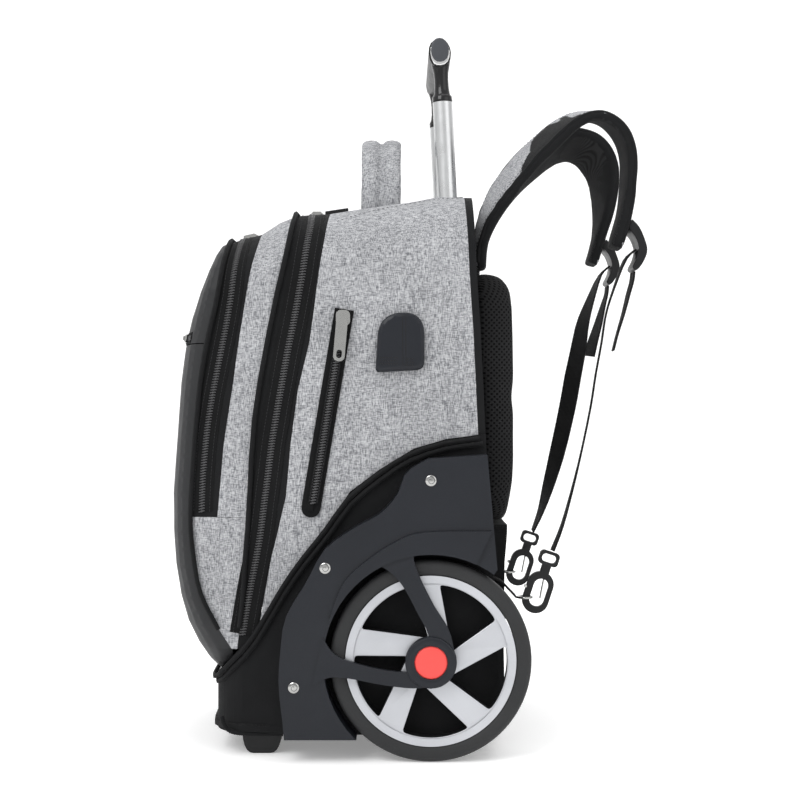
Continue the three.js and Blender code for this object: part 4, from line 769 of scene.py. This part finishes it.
def round_cord(node, grow=0.25 * MM, shift=Vector(), name=None):
    """Piping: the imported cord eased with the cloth."""
    bm = copy_of(node)
    refine(bm, 9 * MM)
    bm.normal_update()
    for corner in bm.verts:
        corner.co = ease(corner.co + shift) + corner.normal * grow
    made = make(name or node + "_cord", bm, "black_cloth", angle=80)
    if name is None:
        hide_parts(node)
    return made


MAIN_COIL = ((310, 230), (309, 237), (301, 282), (293.5, 323.5), (284, 371), (272, 448), (259, 545),
             (252, 582), (247, 610), (243, 634))
FRONT_COIL = ((239.5, 248), (238, 256.5), (228, 314), (221, 352), (211, 410), (204.5, 467), (202, 512))
POCKET_COIL = ((343, 318), (338, 350), (331, 393), (322.5, 446), (313, 503))
HEM_LINE = ((337, 222.5), (348, 218.5), (361, 215), (384, 209.5), (408, 204.5), (436, 199.5), (461, 198))
FRONT_POCKET_EDGE = 16 * MM
FRONT_POCKET_RISE = 6 * MM
# Front pocket's slider and tag: places along the zip in millimetres, and shares of the full section.
PULL_SLIDER = ((-5, 0.7), (-2, 1), (2, 1), (5, 0.75))
PULL_TAG = ((-3, 0.8), (6, 1), (14, 1), (22, 0.7))


def dress_zips():
    zip_run("main_zip", over_bag(MAIN_COIL), 13 * MM, 2.9 * MM)
    zip_run("front_zip", over_bag(FRONT_COIL), 11 * MM, 2.7 * MM)
    pocket = [seen(*pixel, POCKET_SURFACE) for pixel in POCKET_COIL]
    zip_run("pocket_zip", pocket, 5.2 * MM, 2.4 * MM, eased=False)
    split = (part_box("front_panel_lower")[1].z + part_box("front_panel_upper")[0].z) / 2
    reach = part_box("front_panel_upper")[1].y - FRONT_POCKET_EDGE
    across = [dropped(Vector((-0.5, reach * (i / 20 - 1), split + FRONT_POCKET_RISE)), Vector((1, 0, 0)))
              for i in range(41)]
    zip_run("front_pocket_zip", [row for row in across if row], 6 * MM, 2.2 * MM)
    dress_front_pull(across[2])


def dress_front_pull(row):
    """Small slider and tag at the end of the front pocket's zip."""
    place, up = row
    bm = bmesh.new()
    for rows, lift, section in ((PULL_SLIDER, 2.4 * MM, flat_section(4.2 * MM, 1.5 * MM, 3, 12)),
                                (PULL_TAG, 4.6 * MM, flat_section(2.6 * MM, 0.8 * MM, 4, 12))):
        sweep(bm, [place + up * lift + Vector((0, reach * MM, 0)) for reach, _ in rows], section,
              [up] * len(rows), [size for _, size in rows])
    make("front_pocket_pull", bm, "nickel", angle=50)


def curved_rows(pixels, surface=BAG_SURFACE, count=40):
    """Places of the surface under a smooth line of pixels."""
    line = curved([Vector((px, py, 0)) for px, py in pixels], count)
    return [seen(point.x, point.y, surface) for point in line]


def dress_stitches():
    bm = bmesh.new()
    hem = curved_rows(HEM_LINE)
    for rows in (hem, mirrored(hem)):
        stitch_run(bm, rows)
    make("hem_stitches", bm, "thread_grey")


# Side hood, rivets, wheels

USB_GROOVES = (((402.5, 314), (403, 371)), ((405.5, 314), (406, 371)))
USB_DOTS = ((380.5, 357.5, 7, 3), (407.5, 359, 3, 3))
USB_DOT_STEP = (2.75, 3.1)


def dress_usb_cover():
    dress("usb_cover", "fender_plastic", 0.8 * MM, 3)
    # Thin dark ribbons sunk along the cover's grooves: painted shade inside the grooves.
    groove_shade = bmesh.new()
    for pixels in USB_GROOVES:
        rows = curved_rows(pixels, USB_SURFACE, 24)
        path = [place - normal * (0.25 * MM) for place, normal in rows]
        sweep(groove_shade, path, flat_section(0.4 * MM, 0.35 * MM, 4, 8), [normal for _, normal in rows])
    make("usb_cover_groove_shade", groove_shade, "black_plastic")
    # The cover's small holes are drawn as raised dark discs: painted shade in the holes.
    hole_shade = bmesh.new()
    for left, top, columns, rows in USB_DOTS:
        for i in range(columns):
            for k in range(rows):
                place, normal = seen(left + i * USB_DOT_STEP[0], top + k * USB_DOT_STEP[1], USB_SURFACE)
                turned(hole_shade, [(0, -0.2 * MM), (0.75 * MM, -0.2 * MM), (0.7 * MM, 0.15 * MM), (0, 0.3 * MM)],
                       place, normal, 10)
    make("usb_cover_hole_shade", hole_shade, "black_plastic")


def middle_of(node):
    low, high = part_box(node)
    return (low + high) / 2


def face_middle(node, sign):
    """Middle of a node's outward face, on the near or far side."""
    middle = middle_of(node)
    middle.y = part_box(node)[0 if sign < 0 else 1].y
    return middle


# Rivet head: radius share, and place along its axis in millimetres.
RIVET_SECTION = ((0, 0), (0.5, -0.08), (0.8, -0.4), (1, -1.1), (1, -1.7), (0.5, -1.8), (0.5, -8), (0, -8))


def dress_rivets():
    for side, sign in SIDES:
        for level in ("top", "middle", "low"):
            node = f"rivet_{level}_{side}"
            radius, centre = half_height(node), face_middle(node, sign)
            bm = bmesh.new()
            turned(bm, [(radius * share, along * MM) for share, along in RIVET_SECTION],
                   centre, Vector((0, sign, 0)), 36)
            make(node + "_head", bm, "nickel", replaces=(node,))
            mark = bmesh.new()
            spiral = [centre + Vector((math.cos(t * 0.42) * radius * 0.09 * t ** 0.75,
                                       sign * 0.02 * MM, math.sin(t * 0.42) * radius * 0.09 * t ** 0.75))
                      for t in range(1, 22)]
            sweep(mark, spiral, ring_section(0.22 * MM, 6), [Vector((0, sign, 0))] * len(spiral))
            make(node + "_mark", mark, "grey_plastic")


# Tyre section: depth under the tread and distance from the middle, as shares.
TYRE_SECTION = (
    (1, -0.40), (0.93, -0.44), (0.75, -0.475), (0.5, -0.497), (0.34, -0.5), (0.2, -0.478), (0.1, -0.43),
    (0.035, -0.35), (0.006, -0.26), (0, -0.18), (0, 0.18), (0.006, 0.26), (0.035, 0.35), (0.1, 0.43),
    (0.2, 0.478), (0.34, 0.5), (0.5, 0.497), (0.75, 0.475), (0.93, 0.44), (1, 0.40),
)
# Rim section: radius share of the rim, and depth behind the rim's face in millimetres.
RIM_SECTION = (
    (0.998, 9), (0.998, 0.5), (0.988, 0), (0.972, 0), (0.962, 0.6), (0.958, 1.6), (0.952, 2.1),
    (0.946, 1.7), (0.94, 0.9), (0.932, 0.5), (0.921, 0.6), (0.914, 1.3), (0.909, 3), (0.909, 15),
    (0.93, 16), (0.998, 16),
)
SPOKES = 5
SPOKE_ANGLE = math.radians(32)
SPOKE_SWEEP = 12.8 * MM
SPOKE_HUB_HALF = 7.6 * MM
SPOKE_RIM_HALF = 12.6 * MM
# Rim radius in millimetres that the depths of RIM_SECTION are for.
RIM_SECTION_RADIUS = 80.4
TYRE_GAP = 0.35 * MM
# Reach of the spokes' plate and of its windows, as shares of the rim's radius.
SPOKE_REACH = 0.93
WINDOW_REACH = 0.905
SPOKE_DEPTH = 13 * MM
SPOKE_EDGE = 0.9 * MM
SPOKE_INSET = 1.2 * MM
AXLE_HOLE = 6.4 * MM
BOSS_RADIUS = 24.15 * MM
BOSS_DEPTH = 7 * MM
CAP_GAP = 0.4 * MM
CAP_SECTION = ((0, 0), (0.5, -0.12), (0.8, -0.5), (0.93, -1.1), (1, -2.2), (1, -3.4))


def spoke_side(number, hand):
    angle = SPOKE_ANGLE + 2 * math.pi / SPOKES * number
    along = Vector((math.cos(angle), math.sin(angle)))
    left = Vector((-along.y, along.x))
    foot = left * (hand * SPOKE_HUB_HALF - SPOKE_SWEEP)
    return foot, along + left * (hand * (SPOKE_RIM_HALF - SPOKE_HUB_HALF) / RIM_RADIUS)


def reach_circle(foot, along, radius):
    square = along.dot(along)
    half = foot.dot(along) / square
    return foot + along * (-half + math.sqrt(half * half - (foot.dot(foot) - radius ** 2) / square))


def fillet(before, corner, after, reach, steps=5):
    """Rounded corner between two straight lines."""
    a = corner + (before - corner).normalized() * reach
    b = corner + (after - corner).normalized() * reach
    return [a.lerp(corner, t).lerp(corner.lerp(b, t), t) for t in (i / steps for i in range(steps + 1))]


def lines_meet(foot_a, along_a, foot_b, along_b):
    """Where two lines of the wheel's plane cross."""
    gap = foot_b - foot_a
    cross = along_a.x * along_b.y - along_a.y * along_b.x
    return foot_a + along_a * ((gap.x * along_b.y - gap.y * along_b.x) / cross)


def wheel_window(number, ring_radius):
    """Outline of the opening between two spokes, about the wheel's centre."""
    foot_a, along_a = spoke_side(number, 1)
    foot_b, along_b = spoke_side(number + 1, -1)
    rim_a, rim_b = reach_circle(foot_a, along_a, ring_radius), reach_circle(foot_b, along_b, ring_radius)
    start, end = math.atan2(rim_a.y, rim_a.x), math.atan2(rim_b.y, rim_b.x)
    if end < start:
        end += 2 * math.pi
    arc = [Vector((math.cos(start + (end - start) * i / 30), math.sin(start + (end - start) * i / 30)))
           * ring_radius for i in range(31)]
    apex = lines_meet(foot_a, along_a, foot_b, along_b)
    outline = fillet(rim_b, apex, rim_a, 5 * MM)
    outline += fillet(apex, rim_a, arc[3], 4.5 * MM)
    outline += arc[4:-4]
    outline += fillet(arc[-4], rim_b, apex, 4.5 * MM)
    return outline


def flat_plate(name, outlines, thickness, edge):
    """Plate with holes and rounded edges, lying in its own XY plane."""
    curve = bpy.data.curves.new(name, "CURVE")
    curve.dimensions = "2D"
    curve.fill_mode = "BOTH"
    curve.extrude = thickness / 2 - edge
    curve.bevel_depth = edge
    curve.bevel_resolution = 2
    for outline in outlines:
        spline = curve.splines.new("POLY")
        spline.points.add(len(outline) - 1)
        for point, place in zip(spline.points, outline):
            point.co = (place.x, place.y, 0, 1)
        spline.use_cyclic_u = True
    shape = new_object(name, curve)
    bpy.context.view_layer.update()
    mesh = shape.evaluated_get(bpy.context.evaluated_depsgraph_get()).to_mesh()
    bm = bmesh.new()
    bm.from_mesh(mesh)
    bpy.data.objects.remove(shape)
    bmesh.ops.remove_doubles(bm, verts=bm.verts, dist=0.005 * MM)
    return bm


def circle_outline(radius, count=96):
    return [Vector((radius * math.cos(2 * math.pi * i / count), radius * math.sin(2 * math.pi * i / count)))
            for i in range(count)]


def dress_wheels():
    for side, sign in SIDES:
        low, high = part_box("tyre_" + side)
        centre = (low + high) / 2
        width = high.y - low.y
        depth = RIM_RADIUS / RIM_SECTION_RADIUS
        tyre = bmesh.new()
        profile = [(WHEEL_RADIUS - share * (WHEEL_RADIUS - RIM_RADIUS - TYRE_GAP), across * width)
                   for share, across in TYRE_SECTION]
        turned(tyre, profile, centre, Vector((0, 1, 0)), 144)
        make(f"tyre_{side}_rubber", tyre, "tyre_rubber", body="wheel_" + side, replaces=("tyre_" + side,))
        hub = Vector((centre.x, face_middle("rim_" + side, sign).y, centre.z))
        ring = bmesh.new()
        turned(ring, [(RIM_RADIUS * share, -back * depth * MM) for share, back in RIM_SECTION],
               hub, Vector((0, sign, 0)), 144)
        make(f"rim_{side}_ring", ring, "rim_silver", body="wheel_" + side, replaces=("rim_" + side,))
        outlines = [circle_outline(RIM_RADIUS * SPOKE_REACH)]
        outlines += [wheel_window(number, RIM_RADIUS * WINDOW_REACH) for number in range(SPOKES)]
        outlines.append(circle_outline(AXLE_HOLE, 32))
        spokes = flat_plate(f"rim_{side}_spokes", outlines, SPOKE_DEPTH, SPOKE_EDGE)
        turn = Matrix(((-sign, 0, 0), (0, 0, sign), (0, 1, 0))).to_4x4()
        inward = Vector((0, sign * (SPOKE_DEPTH / 2 + SPOKE_INSET), 0))
        spokes.transform(Matrix.Translation(hub - inward) @ turn)
        make(f"rim_{side}_spokes", spokes, ("rim_silver", "black_plastic"), body="wheel_" + side,
             angle=30, pick=lambda face: 0 if abs(face.normal.y) > 0.45 else 1)


def dress_hub(side, sign):
    """Round boss of the fender's arms and its coloured cap."""
    node = "hub_cap_" + side
    low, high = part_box(node)
    outward = Vector((0, sign, 0))
    cap_face = face_middle(node, sign)
    thick = high.y - low.y
    cap = bmesh.new()
    turned(cap, [(CAP_RADIUS * radius, depth * MM) for radius, depth in CAP_SECTION]
           + [(CAP_RADIUS, -thick), (0, -thick)], cap_face, outward, 64)
    make(node + "_dome", cap, "cap_red", replaces=(node,))
    boss = bmesh.new()
    seat = Vector((cap_face.x, face_middle("fender_" + side, sign).y, cap_face.z))
    hole = CAP_RADIUS + CAP_GAP
    turned(boss, [(BOSS_RADIUS, -BOSS_DEPTH), (BOSS_RADIUS, -1.6 * MM), (BOSS_RADIUS - 0.6 * MM, -0.6 * MM),
                  (BOSS_RADIUS - 1.6 * MM, 0.15 * MM), (hole + 1.2 * MM, 0.3 * MM), (hole, -0.4 * MM),
                  (hole, -BOSS_DEPTH)], seat, outward, 72)
    make(f"fender_{side}_boss", boss, "fender_plastic")


def dress_running_gear():
    for side, sign in SIDES:
        dress("fender_" + side, "fender_plastic", 2.0 * MM, 4)
        dress_hub(side, sign)
        dress("axle_" + side, "nickel")
        dress("foot_" + side, "black_plastic", 1.5 * MM, 3)


# Trolley handle

SLIDE_AXIS = Vector(next(j for j in frame["joints"] if j["name"] == "trolley_slide")["axis"]).normalized()


def ends_along(node, axis):
    """Middle of a tube's two ends, measured along its axis."""
    places = [corner.co.copy() for corner in NODES[node].data.vertices]
    marks = [place.dot(axis) for place in places]
    low, high = min(marks), max(marks)
    feet = [p for p, m in zip(places, marks) if m < low + 0.2 * MM]
    tops = [p for p, m in zip(places, marks) if m > high - 0.2 * MM]

    def middle(group):
        corners = [Vector(map(pick, zip(*group))) for pick in (min, max)]
        return (corners[0] + corners[1]) / 2
    return middle(feet), middle(tops)


# Grip section, as shares of its depth and height.
GRIP_SECTION = (
    (-0.5, 0.0), (-0.47, 0.2), (-0.38, 0.36), (-0.2, 0.47), (0.0, 0.5), (0.2, 0.46), (0.36, 0.35),
    (0.46, 0.18), (0.5, 0.0), (0.47, -0.2), (0.38, -0.36), (0.2, -0.47), (0.0, -0.5), (-0.2, -0.48),
    (-0.36, -0.38), (-0.46, -0.22),
)
# Grip neck: radius, and height over the gap above the tube, in millimetres.
NECK_PROFILE = (
    (10.2, 0), (10.2, 4.5), (9.6, 5.4), (8.3, 8), (7.4, 14), (7.1, 22), (7.5, 29), (9, 36), (10, 42),
)
NECK_GAP = 0.3
TUBE_WALL = 1.2 * MM
TUBE_EDGE = 0.3 * MM
GRIP_HEIGHT = 28.6 * MM
GRIP_DEPTH = 22.6 * MM
GRIP_BACK = 2.9 * MM
GRIP_END = 9 * MM
BUTTON_REACH = 16 * MM
# Grip ends: name, look, slot, start and stop behind the end face and lift in millimetres, shares of the
# grip's depth and height, and the round of the edge in millimetres.
GRIP_ENDS = (
    ("cap", "grey_plastic", "black_plastic", 0, 8.6, 1.2, 0.8, 0.84, 3),
    ("trim", "chrome", "nickel", 1.6, 8.9, -1.1, 0.86, 0.9, 2),
)


def dress_trolley():
    axis = SLIDE_AXIS
    for side, _ in SIDES:
        node = "trolley_tube_" + side
        foot, top = ends_along(node, axis)
        low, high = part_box(node)
        radius, length = (high.y - low.y) / 2, (top - foot).dot(axis)
        tube = bmesh.new()
        turned(tube, [(radius, 0), (radius, length - TUBE_EDGE), (radius - TUBE_EDGE, length),
                      (radius - TUBE_WALL, length), (radius - TUBE_WALL, 0)], foot, axis, 56)
        make(node + "_metal", tube, "tube_metal", body="trolley_handle", replaces=(node,))
        neck = bmesh.new()
        profile = [(0, 0), *NECK_PROFILE, (0, NECK_PROFILE[-1][1])]
        turned(neck, [(r * MM, (z + NECK_GAP) * MM) for r, z in profile], top, axis, 48)
        make(f"trolley_neck_{side}", neck, "shiny_plastic", body="trolley_handle")
        dress("tube_housing_" + side, "black_plastic", 0.3 * MM)
    dress_grip(axis)


def grip_body(bm, centre, axis, low, high, size, edge):
    """Oval bar along Y with softly closed ends."""
    across = Vector((0, 1, 0)).cross(axis).normalized()
    depth, height = size
    rings = []
    span = high - low
    for i in range(25):
        turn = math.pi * i / 24
        place = Vector((centre.x, low + span * (1 - math.cos(turn)) / 2, centre.z))
        close = min(1, math.sin(turn) * span / (2 * edge))
        share = 1 - (1 - close) ** 2 * 0.35
        rings.append([bm.verts.new(place + across * (u * depth * share) + axis * (v * height * share))
                      for u, v in GRIP_SECTION])
    join_rings(bm, rings)
    bm.faces.new(rings[0])
    bm.faces.new(rings[-1])
    bmesh.ops.subdivide_edges(bm, edges=bm.edges, cuts=1, use_grid_fill=True, smooth=0.6)


def dress_grip(axis):
    low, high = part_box("trolley_grip")
    centre = Vector((0, 0, high.z)) - axis * (GRIP_HEIGHT / 2 + 0.3 * MM)
    centre.x = ends_along("trolley_tube_near", axis)[1].x - GRIP_BACK
    bar = bmesh.new()
    grip_body(bar, centre, axis, low.y + GRIP_END, high.y - GRIP_END, (GRIP_DEPTH, GRIP_HEIGHT), GRIP_END)
    make("trolley_grip_body", bar, "black_plastic", body="trolley_handle", replaces=("trolley_grip",))
    for (side, sign), face in zip(SIDES, (low.y, high.y)):
        for name, look, slot, front, back, lift, wide, tall, edge in GRIP_ENDS:
            piece = bmesh.new()
            start, end = sorted((face - sign * front * MM, face - sign * back * MM))
            grip_body(piece, centre + axis * (lift * MM), axis, start, end,
                      (GRIP_DEPTH * wide, GRIP_HEIGHT * tall), edge * MM)
            make(f"trolley_grip_{name}_{side}", piece, look, body="trolley_handle")
    button = bmesh.new()
    top = centre + axis * (GRIP_HEIGHT / 2 - 0.6 * MM)
    sweep(button, [top + Vector((0, y, 0)) for y in (-BUTTON_REACH, 0, BUTTON_REACH)],
          flat_section(5.5 * MM, 1.4 * MM, 3, 16), [axis] * 3)
    make("trolley_button", button, "grey_plastic", body="trolley_handle")


# Straps, pad and handle

STRAP_MIDDLE = Vector((0.135, 0, 0.505))
STRAP_START = 203
STRAP_END = -12
OUTER_FACE = 0.72
# Rays that find a strap's edges: rows along it, columns across it, and the columns' places in millimetres.
STRAP_ROWS = 90
STRAP_COLUMNS = 76
STRAP_INNER = 20
STRAP_STEP = 1.5


def remeshed(node, voxel, rounds):
    """Even, rounded copy of a packed padded node."""
    bm = copy_of(node)
    mesh = bpy.data.meshes.new(node + "_soft")
    bm.to_mesh(mesh)
    bm.free()
    shape = new_object(node + "_soft", mesh)
    change = shape.modifiers.new("even faces", "REMESH")
    change.mode = "VOXEL"
    change.voxel_size = voxel
    change.adaptivity = 0
    relax = shape.modifiers.new("soft corners", "SMOOTH")
    relax.factor = 0.5
    relax.iterations = rounds
    bpy.context.view_layer.update()
    made = bmesh.new()
    made.from_mesh(shape.evaluated_get(bpy.context.evaluated_depsgraph_get()).to_mesh())
    bpy.data.objects.remove(shape)
    made.normal_update()
    return made


def outer_share(face):
    """How far a strap's face looks away from the shoulder."""
    place = face.calc_center_median() - STRAP_MIDDLE
    place.y = 0
    return place.normalized().dot(face.normal)


HOOK_GATE = ((545, 574), (543.5, 580), (541.5, 590), (540, 598))
HOOK_SCREW = (525, 585.5)


def dress_straps():
    for side, sign in SIDES:
        node = "shoulder_strap_" + side
        soft = remeshed(node, 2.4 * MM, 7)
        for corner in soft.verts:
            ripple = noise.noise(corner.co * 26 + Vector((11, 0, sign)))
            corner.co += corner.normal * (ripple * 1.1 * MM)
        piece = make(node + "_padding", soft, ("heather", "strap_mesh", "black_cloth"),
                     replaces=(node,), angle=60, pick=strap_cloth)
        dress_strap_edges(side, sign, piece)
        dress_strap_trim(side, sign)


def strap_cloth(face):
    share = outer_share(face)
    if share > OUTER_FACE:
        return 0
    return 1 if share < -OUTER_FACE else 2


def dress_strap_edges(side, sign, piece):
    """Binding round both long edges of a strap, and a row of stitches beside each."""
    bm = bmesh.new()
    bm.from_mesh(piece.data)
    surface = BVHTree.FromBMesh(bm)
    bm.free()
    edges = ([], [])
    for i in range(STRAP_ROWS):
        turn = math.radians(STRAP_START - (STRAP_START - STRAP_END) * i / (STRAP_ROWS - 1))
        away = Vector((math.cos(turn), 0, math.sin(turn)))
        outside = STRAP_MIDDLE + away * 0.3
        hits = [dropped(outside + Vector((0, sign * (STRAP_INNER + STRAP_STEP * k) * MM, 0)), -away, surface)
                for k in range(STRAP_COLUMNS)]
        hits = [hit for hit in hits if hit and (hit[0] - STRAP_MIDDLE).dot(away) > 0.03]
        if len(hits) > 12:
            edges[0].append((hits[4], hits[1][0] - away * (0.6 * MM)))
            edges[1].append((hits[-5], hits[-2][0] - away * (0.6 * MM)))
    seams, binding = bmesh.new(), bmesh.new()
    for rows in edges:
        stitch_run(seams, [row for row, _ in rows], 4 * MM, 2.7 * MM, 0.32 * MM, False)
        path = curved([place for _, place in rows][::3], 90)
        sweep(binding, path, ring_section(2.1 * MM, 10))
    make(f"shoulder_strap_{side}_stitches", seams, "thread_black")
    make(f"shoulder_strap_{side}_binding", binding, "black_cloth", angle=80)


def dress_strap_trim(side, sign):
    for name, look in (("strap_buckle", "black_plastic"), ("snap_hook", "black_plastic")):
        dress(f"{name}_{side}", look, 0.9 * MM, 3)
    for name in ("strap_webbing", "strap_tail", "anchor_tab"):
        dress(f"{name}_{side}", "webbing", 0.45 * MM, 2)
    dress("anchor_ring_" + side, "nickel", 0.2 * MM)
    hook = "snap_hook_" + side
    middle = middle_of(hook)
    gate = bmesh.new()
    path = [photo_point(px, py, -abs(middle.y)) for px, py in HOOK_GATE]
    sweep(gate, [Vector((p.x, middle.y, p.z)) for p in path], ring_section(0.9 * MM, 8))
    make(f"snap_hook_{side}_gate", gate, "nickel")
    dot = bmesh.new()
    spot = photo_point(*HOOK_SCREW, -abs(middle.y))
    turned(dot, [(0, -0.3 * MM), (1.7 * MM, -0.3 * MM), (1.6 * MM, 0.3 * MM), (0, 0.5 * MM)],
           Vector((spot.x, face_middle(hook, sign).y, spot.z)), Vector((0, sign, 0)), 16)
    make(f"snap_hook_{side}_screw", dot, "nickel")


def dress_pad():
    pad = remeshed("back_pad", 4.5 * MM, 10)
    low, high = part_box("back_pad")
    for corner in pad.verts:
        across = corner.co.y / ((high.y - low.y) / 2)
        up = (corner.co.z - low.z) / (high.z - low.z)
        if corner.normal.x > 0.3:
            channel = math.exp(-(abs(across) / 0.13) ** 2) + 0.6 * math.exp(-((up - 0.5) / 0.05) ** 2)
            corner.co.x -= 3.2 * MM * min(channel, 1)
        corner.co += corner.normal * (noise.noise(corner.co * 22) * 0.8 * MM)
    make("back_pad_mesh", pad, "mesh_pad", replaces=("back_pad",), angle=60)


def dress_carry_handle():
    handle = remeshed("carry_handle", 2.4 * MM, 5)
    low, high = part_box("carry_handle")
    for corner in handle.verts:
        groove = math.exp(-((corner.co.x - (low.x + high.x) / 2) / (3 * MM)) ** 2)
        corner.co += corner.normal * (noise.noise(corner.co * 40) * 0.7 * MM - groove * 1.3 * MM)
    make("carry_handle_cloth", handle, "heather", replaces=("carry_handle",), angle=60)


def dress_small_trim():
    for node in ("main_zip_slider", "front_zip_slider", "pocket_zip_slider", "pocket_zip_pull"):
        dress(node, "nickel", 0.5 * MM, 3)
    dress("main_zip_tab", "black_plastic", 0.8 * MM, 3)
    dress("pocket_zip_tape", "zip_tape", 0.3 * MM)


# Studio

SKY_POWER = 0.74
FLOOR_GLOW = 0.24
# Lamps: name, place, width and power.
LAMPS = (
    ("key", (-1.3, -1.9, 2.3), 1.6, 40), ("fill", (1.8, -1.7, 1.3), 1.8, 8),
    ("top", (0.1, 0.1, 2.6), 2.2, 20), ("back", (0.6, 1.8, 1.9), 1.6, 12),
)


def set_studio():
    bm = bmesh.new()
    profile = [(-4.0, 0.0)]
    for i in range(13):
        turn = math.pi / 2 * i / 12
        profile.append((2.6 + math.sin(turn) * 1.2, 1.2 - math.cos(turn) * 1.2))
    profile.append((3.8, 6.0))
    rows = [[bm.verts.new((x, y, z)) for x in (-7, 7)] for y, z in profile]
    for a, b in zip(rows, rows[1:]):
        bm.faces.new((a[0], a[1], b[1], b[0]))
    for face in bm.faces:
        face.smooth = True
    mesh = bpy.data.meshes.new("pale_floor")
    bm.to_mesh(mesh)
    bm.free()
    floor = new_object("pale_floor", mesh)
    material = bpy.data.materials.new("pale_floor")
    material.use_nodes = True
    shader = material.node_tree.nodes["Principled BSDF"]
    shader.inputs["Base Color"].default_value = (0.93, 0.93, 0.93, 1)
    shader.inputs["Roughness"].default_value = 0.9
    shader.inputs["Emission Color"].default_value = (1, 1, 1, 1)
    shader.inputs["Emission Strength"].default_value = FLOOR_GLOW
    mesh.materials.append(material)
    world = bpy.data.worlds.new("studio")
    bpy.context.scene.world = world
    world.use_nodes = True
    tree = world.node_tree
    background = tree.nodes["Background"]
    background.inputs["Color"].default_value = (1, 1, 1, 1)
    direct = calc(tree, "MULTIPLY", add(tree, "ShaderNodeLightPath").outputs["Is Camera Ray"], 1 - SKY_POWER)
    link(tree, calc(tree, "ADD", direct, SKY_POWER), background.inputs["Strength"])
    for name, place, size, power in LAMPS:
        light = bpy.data.lights.new(name, "AREA")
        light.size = size
        light.energy = power
        lamp = new_object(name, light)
        lamp.location = place
        lamp.rotation_euler = (Vector((0, 0, 0.3)) - Vector(place)).to_track_quat("-Z", "Y").to_euler()
    bpy.context.scene.view_settings.view_transform = "Standard"


set_camera()
dress_bag()
dress_zips()
dress_stitches()
dress_usb_cover()
dress_rivets()
dress_wheels()
dress_running_gear()
dress_trolley()
dress_straps()
dress_pad()
dress_carry_handle()
dress_small_trim()
set_studio()
